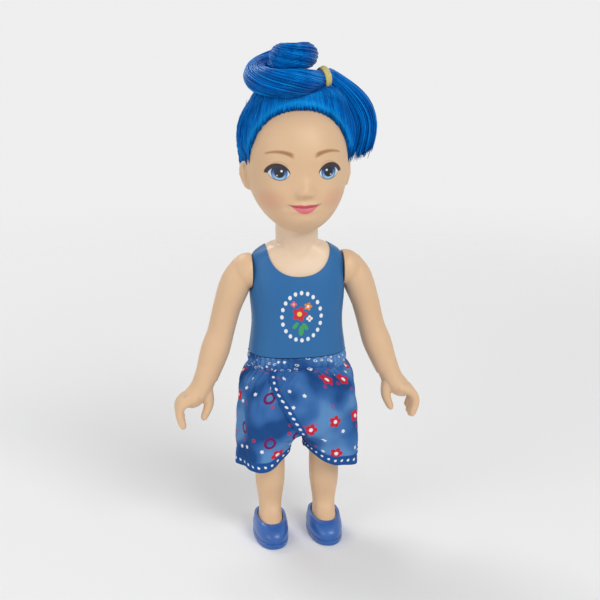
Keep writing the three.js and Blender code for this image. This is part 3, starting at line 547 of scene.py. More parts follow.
class Paint:
    """A material whose colour is laid on in coats."""

    def __init__(self, name, base, roughness, **sockets):
        self.material = bpy.data.materials.new(name)
        self.material.use_nodes = True
        self.tree = self.material.node_tree
        self.shader = self.tree.nodes["Principled BSDF"]
        self.set("Base Color", base)
        self.set("Roughness", roughness)
        for socket, value in sockets.items():
            self.set(socket.replace("_", " "), value)
        self.colour = base

    def set(self, socket, value):
        self.shader.inputs[socket].default_value = value

    def node(self, kind, vector, **values):
        node = self.tree.nodes.new(kind)
        self.tree.links.new(vector, node.inputs["Vector"])
        for socket, value in values.items():
            node.inputs[socket].default_value = value
        return node

    def field(self, socket):
        return Field(self.tree, socket)

    def place(self, offset=(0, 0, 0)):
        """The place on the piece in millimetres, as a vector socket."""
        coordinates = self.tree.nodes.new("ShaderNodeTexCoord")
        mapping = self.node("ShaderNodeMapping", coordinates.outputs["Object"])
        mapping.inputs["Scale"].default_value = (1 / MM, 1 / MM, 1 / MM)
        mapping.inputs["Location"].default_value = tuple(-value for value in offset)
        return mapping.outputs["Vector"]

    def layout(self, name):
        """The place on a flat layout of cloth in millimetres, as a vector socket."""
        node = self.tree.nodes.new("ShaderNodeUVMap")
        node.uv_map = name
        return node.outputs["UV"]

    def parts(self, vector):
        split = self.node("ShaderNodeSeparateXYZ", vector)
        return [self.field(split.outputs[axis]) for axis in "XYZ"]

    def noise(self, vector, scale, detail=2.0):
        node = self.node("ShaderNodeTexNoise", vector, Scale=scale, Detail=detail)
        return self.field(node.outputs[0])

    def coat(self, colour, mask):
        """Lays a colour over what is there."""
        mix = self.tree.nodes.new("ShaderNodeMix")
        mix.data_type = "RGBA"
        self.tree.links.new(mask.socket, mix.inputs["Factor"])
        for name, value in (("A", self.colour), ("B", colour)):
            socket = [s for s in mix.inputs if s.name == name and s.type == "RGBA"][0]
            if isinstance(value, tuple):
                socket.default_value = value
            else:
                self.tree.links.new(value, socket)
        self.colour = [s for s in mix.outputs if s.type == "RGBA"][0]
        self.tree.links.new(self.colour, self.shader.inputs["Base Color"])

    def rough(self, field):
        self.tree.links.new(field.socket, self.shader.inputs["Roughness"])

    def bump(self, height, depth, strength):
        """Fine relief of a given depth in millimetres."""
        node = self.tree.nodes.new("ShaderNodeBump")
        node.inputs["Strength"].default_value = strength
        node.inputs["Distance"].default_value = depth * MM
        self.tree.links.new(height.socket, node.inputs["Height"])
        self.tree.links.new(node.outputs["Normal"], self.shader.inputs["Normal"])


SKIN = linear(226, 190, 152)
SKIN_WARM = linear(214, 158, 120)
NECK_SKIN = linear(236, 210, 182)
HAIR = linear(0, 100, 196)
HAIR_DARK = linear(0, 64, 146)
HAIR_LIGHT = linear(2, 140, 226)
HAIR_SHINE = linear(20, 158, 232)
TOP_BLUE = linear(44, 108, 166)
TOP_SHADE = linear(40, 100, 156)
SHOE_BLUE = linear(44, 100, 178)
SHOE_SHADE = linear(34, 80, 150)
RUBBER = linear(220, 204, 132)
RUBBER_SHADE = linear(190, 170, 96)
CLOTH_BLUE = linear(58, 108, 172)
CLOTH_LIGHT = linear(108, 156, 206)
CLOTH_NAVY = linear(18, 62, 122)
RED = linear(204, 44, 64)
PLUM = linear(118, 36, 92)
WHITE = linear(238, 240, 244)
PINK = linear(226, 104, 140)
ORANGE = linear(226, 136, 48)
YELLOW = linear(240, 208, 84)
GREEN = linear(66, 160, 96)
BORDER_BLUE = linear(34, 84, 150)
BLUSH = linear(222, 134, 116)
BROW = linear(160, 104, 58)
EYE_CREASE = linear(176, 118, 84)
EYE_WHITE = linear(214, 226, 238)
IRIS = linear(70, 122, 184)
IRIS_PALE = linear(150, 198, 234)
IRIS_EDGE = linear(30, 60, 112)
IRIS_SHADE = linear(16, 30, 64)
PUPIL = linear(12, 12, 20)
LASH = linear(44, 34, 34)
LOWER_LASH = linear(96, 74, 74)
UPPER_LIP = linear(206, 92, 104)
LOWER_LIP = linear(222, 112, 122)
LIP_LINE = linear(146, 62, 70)

# Face paint, in millimetres from the middle of the face and up from the chin
BLUSH_ACROSS = 9.2
BLUSH_HEIGHT = 10.4
BROW_ACROSS = 7.4
BROW_HEIGHT = 24.3
BROW_INNER_END = 3.3
BROW_OUTER_END = 10.8
EYE_TILT = 0.02
EYE_REACH = 2.95
EYE_OPENING = 1.95
LID_POWER = 0.65
IRIS_RADIUS = 2.25
IRIS_EDGE_RADIUS = 2.13
PUPIL_RADIUS = 1.38
EYE_GLINTS = ((-0.6, 0.6, 0.32), (0.65, -0.75, 0.18))
LASH_OUTWARD = 0.4
LASH_REACH = 3.6
LASH_HEIGHT = 2.9
LIP_REACH = 4.4
LIP_BEND = 0.042
HAIRLINE_HALF = 14.2

# The print on the chest and the prints on the cloth, in millimetres
PRINT_CENTRE = (0, 0, 74.6)
OVAL_ACROSS = 5.9
OVAL_TALL = 7.2
OVAL_DOTS = 20
OVAL_DOT = 0.58
THREAD_PITCH = 0.5
MOTIF_PITCH = 8.8
MOTIF_SIZE = 2.1
SPECK_PITCH = 5
SPECK_SIZE = 0.62
BAND_PITCH = 1.7
BAND_SPECK = 0.4


def dot(u, v, size, soft):
    """1 inside a round dot and 0 outside it, with a soft edge in square millimetres."""
    return (u * u + v * v).below(size ** 2, soft)


def flower(u, v, petals, size, notch):
    """How far a place is from the middle of a flower, and how far the petals reach on that side."""
    lobes = (v.math("ARCTAN2", u) * (petals / 2)).math("COSINE").size()
    return u.hypot(v), lobes * (notch * size) + (1 - notch) * size


def moulded(name, base, second, blotches, gloss, grain, **sockets):
    """Moulded plastic: blotches of a second colour, an uneven gloss and a grain, each led by its scale."""
    paint = Paint(name, base, gloss[-1], **sockets)
    place = paint.place()
    scale, limit, soft, share = blotches
    paint.coat(second, paint.noise(place, scale).above(limit, soft) * share)
    scale, detail, swing, least = gloss
    paint.rough(paint.noise(place, scale, detail) * swing + least)
    scale, detail, depth, strength = grain
    paint.bump(paint.noise(place, scale, detail), depth, strength)
    return paint


def vinyl(name):
    """Soft vinyl, which lets a little light through."""
    paint = moulded(name, SKIN, SKIN_WARM, (0.09, 0.5, 0.35, 0.1), (0.4, 2, 0.14, 0.4), (2.4, 4, 0.03, 0.25),
                    Subsurface_Weight=0.18, Subsurface_Scale=0.0012)
    paint.set("Subsurface Radius", (1.0, 0.45, 0.28))
    return paint


def paint_face(paint):
    """Brows, eyes, lips and a blush printed on the front of the head."""
    x, y, z = paint.parts(paint.place(CHIN.tolist()))
    across = x.size()
    front = y.below(-3, 0.5)
    aside = across - BLUSH_ACROSS
    high = z - BLUSH_HEIGHT
    paint.coat(BLUSH, (aside * aside * 0.7 + high * high).below(6, 10) * front * 0.32)
    paint_brow(paint, across, z, front)
    paint_eye(paint, across, z, front)
    paint_lips(paint, across, z, front)


def paint_brow(paint, across, z, front):
    bend = across - BROW_ACROSS
    off_line = (z + bend * bend * 0.06 - BROW_HEIGHT).size()
    taper = across * -0.07 + 1.02
    ends = across.above(BROW_INNER_END, 0.7) * across.below(BROW_OUTER_END, 0.5)
    paint.coat(BROW, (off_line - taper).below(-0.1, 0.36) * ends * front * 0.85)


def paint_eye(paint, across, z, front):
    u = across - EYE_SPACING / 2
    v = z - EYE_HEIGHT - u * EYE_TILT
    bow = ((u * u) * (-1 / EYE_REACH ** 2) + 1).most(0).math("POWER", LID_POWER)
    upper = bow * EYE_OPENING
    lower = bow * -EYE_OPENING
    opening = (upper - v).least(v - lower).least(u.size() * -1 + EYE_REACH)
    inside = opening.above(0, 0.1) * front
    crease = (v - upper - bow * 0.75 - 0.7).size()
    paint.coat(EYE_CREASE, crease.below(0.14, 0.2) * u.size().below(2.8, 0.5) * front * 0.4)
    paint.coat(EYE_WHITE, inside)
    side = u + 0.1
    high = v - 0.15
    radius = side.hypot(high)
    iris = radius.below(IRIS_RADIUS, 0.12) * inside
    paint.coat(IRIS, iris)
    paint.coat(IRIS_PALE, iris * high.below(-0.7, 0.8))
    paint.coat(IRIS_EDGE, iris * (radius - IRIS_EDGE_RADIUS).size().below(0.08, 0.18))
    paint.coat(IRIS_SHADE, iris * high.above(0.35, 0.65))
    paint.coat(PUPIL, radius.below(PUPIL_RADIUS, 0.14) * inside)
    for glint_u, glint_v, size in EYE_GLINTS:
        paint.coat(WHITE, dot(side - glint_u, high - glint_v, size, 0.07) * inside)
    outward = u - LASH_OUTWARD
    lash_bow = ((outward * outward) * (-1 / LASH_REACH ** 2) + 1).most(0).math("POWER", LID_POWER)
    lash_end = outward.size() * -1 + LASH_REACH - 0.1
    lash = (lash_bow * LASH_HEIGHT - v).least(v - upper + 0.14).least(lash_end)
    paint.coat(LASH, lash.above(0, 0.14) * front)
    under = (v - lower).size()
    paint.coat(LOWER_LASH, under.below(0.12, 0.14) * u.size().below(3, 0.3) * front * 0.85)


def paint_lips(paint, across, z, front):
    line = across * across * LIP_BEND + MOUTH_HEIGHT
    bow = (across * across) * (-1 / LIP_REACH ** 2) + 1
    dip = across.below(0.7, 0.7) * -0.2 + 1
    above = z - line
    upper = above.above(0, 0.1) * (above - bow * dip * 0.98).below(0, 0.14)
    lower = above.below(0, 0.1) * (above + bow * bow * 0.9 + bow * 0.85).above(0, 0.18)
    inside = across.below(LIP_REACH - 0.15, 0.25) * front
    corners = across.below(LIP_REACH + 0.3, 0.4) * front
    paint.coat(UPPER_LIP, upper * inside)
    paint.coat(LOWER_LIP, lower * inside)
    paint.coat(LIP_LINE, above.size().below(0.12, 0.12) * corners * 0.8)


def hair_paint():
    """Fine plastic fibre: each hair its own shade, glossy along its length, with a painted highlight above
    the front hairline and a painted shade under the knot.
    """
    paint = Paint("hair", HAIR, 0.34, Specular_IOR_Level=0.9, Specular_Tint=linear(40, 190, 255))
    geometry = paint.tree.nodes.new("ShaderNodeNewGeometry")
    chance = paint.field(geometry.outputs["Random Per Island"])
    place = paint.place()
    paint.coat(HAIR_DARK, chance.below(0.3, 0.3))
    paint.coat(HAIR_LIGHT, chance.above(0.72, 0.25) * 0.85)
    paint.coat(HAIR_DARK, paint.noise(place, 0.22).below(0.42, 0.14) * 0.5)
    x, y, z = paint.parts(paint.place((0, 0, chin_z + HAIRLINE_SIDE)))
    up = z * (1 / (HAIRLINE_TOP - HAIRLINE_SIDE))
    side = x * (1 / HAIRLINE_HALF)
    over_brow = side.hypot(up)
    front = y.below(-2, 3) * up.above(0.2, 0.2) * up.below(1.6, 0.05)
    # Painted highlight: a lighter band of hair just above the front hairline, where light would catch the
    # rolled hair
    paint.coat(HAIR_SHINE, (over_brow - 1.12).size().below(0.03, 0.07) * front * 0.6)
    # Painted shade: a darker band of hair at the base of the knot, where the knot shades the combed hair
    paint.coat(HAIR_DARK, (over_brow - 1.36).size().below(0.06, 0.1) * front * 0.8)
    paint.rough(chance * 0.16 + 0.26)
    paint.bump(paint.noise(place, 3.5, 3), 0.05, 0.4)
    return paint.material


def top_paint():
    """Satin moulded plastic with a small printed flower in an oval of dots on the chest."""
    paint = moulded("moulded_top", TOP_BLUE, TOP_SHADE, (0.12, 0.5, 0.3, 0.35), (0.5, 2, 0.12, 0.36),
                    (1.8, 4, 0.03, 0.3), Specular_IOR_Level=0.3)
    x, y, z = paint.parts(paint.place(PRINT_CENTRE))
    front = y.below(-2, 0.5)
    paint_dot_oval(paint, x, z, front)
    paint_bouquet(paint, x, z, front)
    return paint.material


def paint_dot_oval(paint, x, z, front):
    u = x * (1 / OVAL_ACROSS)
    v = z * (1 / OVAL_TALL)
    mean = (OVAL_ACROSS + OVAL_TALL) / 2
    angle = v.math("ARCTAN2", u) * (OVAL_DOTS / (2 * math.pi))
    along = (angle - angle.math("ROUND")) * (2 * math.pi * mean / OVAL_DOTS)
    paint.coat(WHITE, dot(along, (u.hypot(v) - 1) * mean, OVAL_DOT, 0.14) * front)


def paint_bouquet(paint, x, z, front):
    """One five-petal flower with buds and leaves below and beside it."""
    blossoms = (
        (-0.7, 0.9, 2.3, 5, RED, YELLOW),
        (1.9, 3.1, 1.25, 5, ORANGE, WHITE),
        (-2.4, 3.9, 0.95, 4, PINK, YELLOW),
        (2.3, -0.6, 1.0, 4, WHITE, ORANGE),
    )
    for leaf_x, leaf_z, slope in ((-1.9, -2.6, 0.8), (1.0, -3.0, -0.7), (-0.2, -4.2, 0.1)):
        du = x - leaf_x
        dv = z - leaf_z
        along = dv + du * slope
        off = du - dv * slope
        paint.coat(GREEN, (along * along * 0.4 + off * off * 1.6).below(1, 0.3) * front)
    for centre_x, centre_z, size, petals, colour, heart in blossoms:
        radius, reach = flower(x - centre_x, z - centre_z, petals, size, 0.42)
        paint.coat(colour, (radius - reach).below(0, 0.12) * front)
        paint.coat(heart, radius.below(0.32 * size, 0.1) * front)


def cloth_paint(name, dotted):
    """Thin woven cotton in shades of blue, printed with scattered little flowers, rings and dots."""
    paint = Paint(name, CLOTH_BLUE, 0.85, Specular_IOR_Level=0.1)
    flat = paint.layout("cloth")
    patches = paint.noise(flat, 0.085, 1)
    paint.coat(CLOTH_LIGHT, patches.above(0.56, 0.08) * 0.7)
    paint.coat(CLOTH_NAVY, patches.below(0.43, 0.07) * 0.75)
    u, v, _ = paint.parts(flat)
    if dotted:
        free = print_cells(paint, flat, MOTIF_PITCH, MOTIF_SIZE, (RED, PLUM))
        print_cells(paint, flat, SPECK_PITCH, SPECK_SIZE, (WHITE, RED), free)
        print_hem_dots(paint, u, v)
        print_edge_dots(paint, *paint.parts(paint.layout("edge"))[:2])
    else:
        print_cells(paint, flat, BAND_PITCH, BAND_SPECK, (WHITE, WHITE))
    waves = 2 * math.pi / THREAD_PITCH
    threads = (u * waves).math("SINE") * (v * waves).math("SINE")
    crumple = paint.noise(flat, 0.6, 3)
    paint.bump(threads * 0.3 + crumple, 0.12, 0.55)
    paint.rough(crumple * 0.12 + 0.78)
    return paint.material


def print_cells(paint, flat, pitch, size, colours, free=None):
    """A flower or a ring in most cells of a loose scatter; gives back the cloth left free of them."""
    scatter = paint.node("ShaderNodeTexVoronoi", flat, Scale=1 / pitch, Randomness=0.75)
    scatter.voronoi_dimensions = "2D"
    chance = paint.parts(scatter.outputs["Color"])[0]
    u, v, _ = paint.parts(flat)
    middle_u, middle_v, _ = paint.parts(scatter.outputs["Position"])
    radius, reach = flower(u - middle_u, v - middle_v, 5, size, 0.36)
    flowers = chance.below(0.42, 0.001)
    rings = chance.above(0.62, 0.001)
    if free:
        flowers = flowers * free
        rings = rings * free
    paint.coat(colours[0], (radius - reach).below(0, 0.16) * flowers)
    paint.coat(WHITE, radius.below(0.3 * size, 0.12) * flowers)
    paint.coat(colours[1], (radius - 0.72 * size).size().below(0.2 * size, 0.12) * rings)
    return radius.above(1.15 * size, 0.05)


def row_of_dots(along, off, pitch, size, soft):
    """1 on the dots of a row, from the places along the row and off it."""
    step = (along * (1 / pitch) - (along * (1 / pitch)).math("ROUND")) * pitch
    return dot(step, off, size, soft)


def print_hem_dots(paint, u, v):
    """A border with white dots along the hem."""
    up = v - (SHORTS_HEM + 1.6)
    paint.coat(BORDER_BLUE, up.below(1.5, 0.2))
    paint.coat(WHITE, row_of_dots(u, up, 2.1, 0.4, 0.1))


def print_edge_dots(paint, from_edge, v):
    """A border with white dots along the edge that laps over."""
    above_crotch = v.above(SHORTS_CROTCH + 1.4, 0.4)
    paint.coat(BORDER_BLUE, from_edge.below(2.8, 0.2) * above_crotch)
    paint.coat(WHITE, row_of_dots(v, from_edge - 1.5, 1.9, 0.48, 0.12) * above_crotch)


def shoe_paint():
    """Half-glossy moulded shoe plastic, scuffed a little."""
    paint = moulded("shoe", SHOE_BLUE, SHOE_SHADE, (0.3, 0.55, 0.2, 0.5), (1.1, 3, 0.2, 0.26),
                    (2.5, 3, 0.03, 0.3), Coat_Weight=0.25, Coat_Roughness=0.2)
    return paint.material


def elastic_paint():
    """Yellow rubber thread with a fine twist."""
    paint = Paint("elastic", RUBBER, 0.55)
    place = paint.place()
    paint.coat(RUBBER_SHADE, paint.noise(place, 1.6).above(0.5, 0.2) * 0.6)
    paint.bump(paint.noise(place, 5, 2), 0.06, 0.5)
    return paint.material


def neck_paint():
    """Harder glossy skin-coloured plastic."""
    paint = moulded("neck", NECK_SKIN, SKIN, (0.15, 0.5, 0.3, 0.3), (0.6, 2, 0.1, 0.27), (1.5, 3, 0.02, 0.2),
                    Coat_Weight=0.1, Coat_Roughness=0.2)
    return paint.material


# Head, in its own frame: the neck axis at x = y = 0 and the underside of the chin at z = 0

def head_points(share, even, side=0, top=0, relief=None, dome_power=DOME_POWER):
    """Points at shares of the head's height and directions round it, grown sideways and upwards."""
    rise = np.clip((share - CHEEK_LEVEL) / (1 - CHEEK_LEVEL), 0, 1)
    fall = np.clip((CHEEK_LEVEL - share) / CHEEK_LEVEL, 0, 1)
    dome = (1 - rise ** dome_power) ** (1 / dome_power)
    jaw = 1 - fall ** JAW_POWER
    chin = 1 - fall ** CHIN_POWER
    half = (HEAD_WIDTH / 2 + side) * dome * np.sqrt(jaw)
    front = (CHIN_FORWARD + (FACE_DEPTH + side - CHIN_FORWARD) * np.sqrt(chin)) * dome
    back = (-CHIN_FORWARD + (BACK_DEPTH + side + CHIN_FORWARD) * jaw ** NAPE_POWER) * dome
    z = cheek_z + rise * (HEAD_HEIGHT - cheek_z + top) - fall * (cheek_z + side)
    angle = even - 0.3 * np.sin(even)
    x = half * power(np.sin(angle), 2 / HEAD_SQUARENESS)
    y = (back - front) / 2 - (back + front) / 2 * power(np.cos(angle), 2 / HEAD_SQUARENESS)
    if relief:
        y = y - np.sqrt(np.maximum(0, np.cos(angle))) * relief(x, z)
    return points_at(x, y, z)


def face_relief(x, z):
    """How far the face stands out from the plain egg of the head, as humps and hollows on it."""
    across = np.abs(x)
    eye_x = EYE_SPACING / 2
    lip_reach = MOUTH_WIDTH / 2
    bridge = np.where(z > NOSE_HEIGHT, 2.9, 1.7)
    humps = (
        (x, 0, NOSE_HEIGHT, 2.2, bridge, NOSE_LENGTH * 0.9),
        (across, 1.7, NOSE_HEIGHT - 0.7, 1, 0.9, 0.5),
        (across, 1.1, NOSE_HEIGHT - 1.7, 0.5, 0.4, -0.4),
        (across, eye_x, EYE_HEIGHT, 5, 3.4, -0.8),
        (across, eye_x, EYE_HEIGHT, 3.6, 2.3, 0.6),
        (across, eye_x, EYE_HEIGHT + 3.3, 4.2, 0.6, 0.16),
        (across, 8, NOSE_HEIGHT - 2, 4.6, 4, 0.8),
        (x, 0, MOUTH_HEIGHT + 0.9, lip_reach * 0.85, 0.8, 0.8),
        (x, 0, MOUTH_HEIGHT - 0.9, lip_reach * 0.7, 0.9, 0.9),
        (across, lip_reach, MOUTH_HEIGHT + 0.3, 1.2, 1.2, -0.4),
        (x, 0, MOUTH_HEIGHT - 3.6, 4, 1.8, 0.7),
        (x, 0, MOUTH_HEIGHT + 2.4, 0.7, 1, -0.16),
    )
    out = 0
    for side, centre_x, centre_z, wide, tall, height in humps:
        out = out + height * np.exp(-((side - centre_x) / wide) ** 2 - ((z - centre_z) / tall) ** 2)
    mouth_line = MOUTH_HEIGHT + LIP_BEND * x ** 2
    return out - 0.3 * np.exp(-((z - mouth_line) / 0.3) ** 2) * smoothstep(across, 5.2, 3.6)


def head_shares(rows):
    """Shares of the head's height, closer together at the chin and the crown."""
    even = np.linspace(0, 1, rows)
    return (1 - np.cos(math.pi * even)) / 4 + even / 2


def ear(side):
    """A rounded ear with a rim round a shallow hollow."""
    angle = turn(64)
    lean = 0.16
    rings = []
    for share in np.linspace(-1, 1, 41):
        reach = math.sqrt(1 - share ** 2)
        rim = 0.4 * math.exp(-((reach - 0.8) / 0.16) ** 2) - 0.9 * math.exp(-(reach / 0.45) ** 2)
        x = 1.9 * share + (rim if share > 0 else 0)
        y = EAR_DEPTH / 2 * reach * np.cos(angle)
        z = EAR_HEIGHT / 2 * reach * np.sin(angle)
        y = y * (1 + lean * z / EAR_HEIGHT * 2)
        rings.append(points_at(x + lean * y + 0.3 * np.minimum(z, 0), y + lean * z, z))
    shape = moved(loft(rings), (HEAD_WIDTH / 2 - 0.1, 1.2, EAR_LEVEL))
    return shape if side > 0 else mirrored(shape)


def build_head(material):
    columns, rows = 200, 170
    even = turn(columns)
    skin = loft([head_points(share, even, relief=face_relief) for share in head_shares(rows)])
    seat = NECK_SEAT_HEIGHT
    chamber = NECK_KNOB_RADIUS + GAP
    collar = chamber + 1
    ring = lathe([(collar, seat), (collar, seat + 6)])
    head = new_object("head", moved(merged(skin, ring, ear(1), ear(-1)), CHIN))
    fuse(head, HEAD_GRAIN, 3)
    stem = NECK_STEM_RADIUS + PEG_CLEARANCE
    floor = seat + HEAD_WALL
    recess = NECK_RADIUS + GAP
    socket = [(recess, -5), (recess, seat), (stem, seat), (stem, floor), (chamber, floor), (chamber, cheek_z)]
    shape_with(head, "DIFFERENCE", moved(lathe(socket), CHIN))
    finish_piece(head, "head", "head_shell", material)


# Hair

COMBED_HAIRS = 1900
STRAY_HAIRS = 30
KNOT_HAIRS = 260
HEART_HAIRS = 130
FAN_HAIRS = 560
CROWN_BEND = 1.5
SIDE_RISE = 8
SIDEBURN_TRIM = 2.2
FRONT_MOUND = (5.8, -0.4, 8.4, 1.4)
HEART_OFFSET = (1.6, 1.4, 2.2)
HEART_RADII = (5.8, 5.6, 5)
FAN_END = 0.945
FAN_CORE_END = 0.86
TIE_SHARE = 0.05
nape_y = BACK_DEPTH * 0.7
hair_top_z = HEAD_HEIGHT + GAP + HAIR_TOP
bun_z = hair_top_z + BUN_STRAND - 0.6


def hairline_forward(z):
    """How far forward the hairline is at a height."""
    share = np.maximum(0, z - HAIRLINE_SIDE) / (HAIRLINE_TOP - HAIRLINE_SIDE)
    return SIDEBURN_FORWARD + (HAIRLINE_FORWARD - SIDEBURN_FORWARD) * np.sqrt(share)


def hair_floor(y):
    """The lower edge of the hair: trimmed before the ears, level over them, then down to the nape."""
    t = np.linspace(0, 1, 40)
    over_ear = HAIRLINE_SIDE - 0.6
    edge_y = bezier(2.5, 6, 5, nape_y, t)
    edge_z = bezier(over_ear, HAIRLINE_SIDE - 1, NAPE_LINE + 2, NAPE_LINE, t)
    return np.interp(y, [-SIDEBURN_FORWARD, *edge_y], [over_ear + SIDEBURN_TRIM, *edge_z])


def hair_fullness(point):
    """Thin along the hairline, full a little way above and behind it."""
    _, y, z = np.moveaxis(point, -1, 0)
    behind = (y + hairline_forward(z)) / HAIR_RISE
    low = smoothstep(y, 3, nape_y)
    above = (z - HAIRLINE_SIDE + (HAIRLINE_SIDE - NAPE_LINE) * low) / SIDE_RISE
    return HAIR_EDGE + (1 - HAIR_EDGE) * smoothstep(np.minimum(behind, above), -0.1, 1)


def hair_points(share, even, lift=0):
    """Points on the combed hair, rolled up from the hairline to where it is drawn together."""
    scalp = head_points(share, even, GAP, GAP)
    full = head_points(share, even, GAP + HAIR_SIDE + lift, GAP + HAIR_TOP + lift, dome_power=HAIR_DOME_POWER)
    fullness = hair_fullness(scalp)
    point = scalp + (full - scalp) * fullness[..., None]
    tall = 3 * GATHER_HEIGHT
    mounds = ((BUN_SIDE * 0.5, 1, GATHER_RADIUS, GATHER_HEIGHT), FRONT_MOUND)
    level = point[..., 2].copy()
    for x, y, radius, height in mounds:
        out = np.hypot(point[..., 0] - x, point[..., 1] - y) / (radius + lift)
        mound = hair_top_z + height - tall + (tall + lift) * np.sqrt(np.maximum(0, 1 - out ** 2))
        level = np.where(out < 1, np.maximum(level, mound), level)
    point[..., 2] += (level - point[..., 2]) * smoothstep(fullness, HAIR_EDGE, 0.7)
    return point


def combed_share(bend):
    """The share of the head's height at a bend, 0 at the widest level and a quarter turn at the crown."""
    up = np.sin(np.clip(bend, 0, math.pi / 2)) ** (2 / HAIR_DOME_POWER)
    return CHEEK_LEVEL + (1 - CHEEK_LEVEL) * up + 0.9 * CHEEK_LEVEL * np.minimum(bend, 0)


def hairline_bend(even):
    """The bend at which the hair starts, in each direction round the head."""
    bends = np.linspace(-0.9, math.pi / 2, 600)
    _, y, z = np.moveaxis(head_points(combed_share(bends)[:, None], even[None], GAP, GAP), -1, 0)
    bare = (y < -hairline_forward(z)) | (z < hair_floor(y))
    last_bare = len(bends) - 1 - np.argmax(bare[::-1], axis=0)
    return bends[np.minimum(last_bare + 1, len(bends) - 1)]


def spread(low, high, count):
    """An even draw for each hair."""
    return random.uniform(low, high, (count, 1))


def stray(middle, size, count):
    """A draw about a middle value for each hair."""
    return random.normal(middle, size, (count, 1))


def either(value, chance, low, high, count):
    """One value for a chance share of the hairs, and an even draw for the rest."""
    return np.where(random.random((count, 1)) < chance, value, spread(low, high, count))


def cap_base():
    """The under-layer: from the crown down over the scalp to the hairline and back up outside."""
    columns, levels = 200, 28
    even = turn(columns)
    start = hairline_bend(even)
    start = (np.roll(start, 1) + start + np.roll(start, -1)) / 3
    rows = np.linspace(0, 1, levels)[:, None]
    share = combed_share(start[None] + (CROWN_BEND + 0.06 - start[None]) * rows)
    inner = head_points(share, even[None], 0.1, 0.1)
    rolled = inner + (hair_points(share, even[None]) - inner) * smoothstep(rows, -0.02, 0.1)[..., None]
    return loft(np.concatenate([inner[::-1], rolled]))


def cap_strands(count, steps):
    """Hairs combed from the hairline up to the knot."""
    even = spread(0, 2 * math.pi, count)
    even = even - 0.25 * np.sin(even)
    root = hairline_bend(even[:, 0])[:, None]
    higher = either(0, 0.7, 0, 0.5, count)
    clumps = 0.022 * np.sin(46 * even + 3 * np.sin(5 * even)) - 0.03
    root = root + (CROWN_BEND - root) * higher + clumps + spread(-0.03, 0.012, count)
    along = np.linspace(0, 1, steps)[None]
    share = combed_share(root + (CROWN_BEND - root) * along)
    drift = stray(0, 0.05, count) * np.sin(math.pi * along)
    wave = stray(0, 0.012, count) * np.sin(spread(4, 9, count) * along)
    lift = spread(-0.02, 0.34, count) * np.ones_like(along)
    scalp = head_points(share, even + drift + wave)
    risen = smoothstep(along, -0.01, 0.1)[..., None]
    point = scalp + (hair_points(share, even + drift + wave, lift) - scalp) * risen
    return tubes(point, spread(0.1, 0.2, count))


def flyaways(count, steps):
    """A few loose hairs that stand off the sides and the crown."""
    even = spread(0.9, 5.4, count)
    root = np.maximum(hairline_bend(even[:, 0])[:, None], spread(0.2, 0.8, count))
    along = np.linspace(0, 1, steps)[None]
    share = combed_share(root + spread(0.2, 0.4, count) * along)
    lift = spread(0.4, 1.3, count) * along ** 1.6
    turned = even + stray(0, 0.08, count) * along
    return tubes(hair_points(share, turned, lift), spread(0.05, 0.08, count), 3)


def bun_path():
    """In from the elastic along the front, then round and up into a smaller loop."""
    share = np.linspace(0, 1, 400)
    angle = share * BUN_TURNS * 2 * math.pi
    front = math.pi / 2
    turned = np.maximum(angle, front)
    lead = np.maximum(0, front - angle)
    loop = BUN_LOOP + (BUN_INNER_LOOP - BUN_LOOP) * share ** 2
    x = loop * np.cos(turned) + BUN_LEAD * lead + BUN_DRIFT * share
    y = -loop * np.sin(turned) + BUN_RETURN * lead ** 2
    z = BUN_PITCH * (turned + np.cos(turned) - front) / (2 * math.pi)
    cos, sin = math.cos(BUN_TILT), math.sin(BUN_TILT)
    return Path(points_at(x, y * cos - z * sin, y * sin + z * cos) + [BUN_SIDE, 1, bun_z])


def bun_radius(share):
    pinch = TAIL_ROOT_RADIUS / BUN_STRAND
    full = pinch + (1 - pinch) * smoothstep(share, 0, 0.16)
    return BUN_STRAND * full * (1 - 0.1 * share) * np.maximum(0.15, rounded(share, 0, 0.08))


bun = bun_path()
tail_start = bun.at(0.0) - bun.along(0.0) * GAP


def tail_path():
    reach = TAIL_REACH - TAIL_THICKNESS / 2
    away = reach - tail_start[0]
    return curve_through([
        tail_start,
        tail_start - bun.along(0.0) * away * 0.3,
        (tail_start[0] + away * 0.72, 2.4, tail_start[2] - TAIL_DROP * 0.24),
        (reach, 3.4, tail_start[2] - TAIL_DROP * 0.55),
        (reach - TAIL_TUCK, 3.8, tail_start[2] - TAIL_DROP),
    ])


tail = tail_path()


def tail_half(size):
    """Half the loose end's width or thickness, along its way."""
    def at(share):
        return TAIL_ROOT_RADIUS + (size / 2 - TAIL_ROOT_RADIUS) * smoothstep(share, 0.12, 0.55)
    return at


def fan_core_half(size):
    """Half the width or thickness of the under-layer of the loose end."""
    def at(share):
        return tail_half(size)(share * FAN_CORE_END) * 0.8 * np.maximum(0.3, rounded(share, 0, 0.12))
    return at


def hank_strands(path, across, share, angle, out, width, thickness):
    """Hairs that run along a hank at their own angle and distance from its middle line."""
    paths = []
    for shares, angles, outs in zip(share, angle, out):
        side, up = path.frame(shares, np.asarray(across, float))
        reach = side * (np.cos(angles) * width(shares) * outs)[:, None]
        paths.append(path.at(shares) + reach + up * (np.sin(angles) * thickness(shares) * outs)[:, None])
    return paths


def bun_strands(count, steps):
    """Hairs that wind slowly round the hank of the knot."""
    begin = either(0, 0.5, 0, 0.4, count)
    end = either(0.985, 0.5, 0.6, 0.98, count)
    share = begin + (end - begin) * np.linspace(0, 1, steps)[None]
    angle = spread(0, 2 * math.pi, count) + share * 2 * math.pi * stray(0.9, 0.1, count)
    out = spread(0.97, 1.1, count) + 0.02 * np.sin(share * spread(10, 30, count))
    paths = hank_strands(bun, UPWARD, share, angle, out, bun_radius, bun_radius)
    return tubes(paths, spread(0.13, 0.24, count))


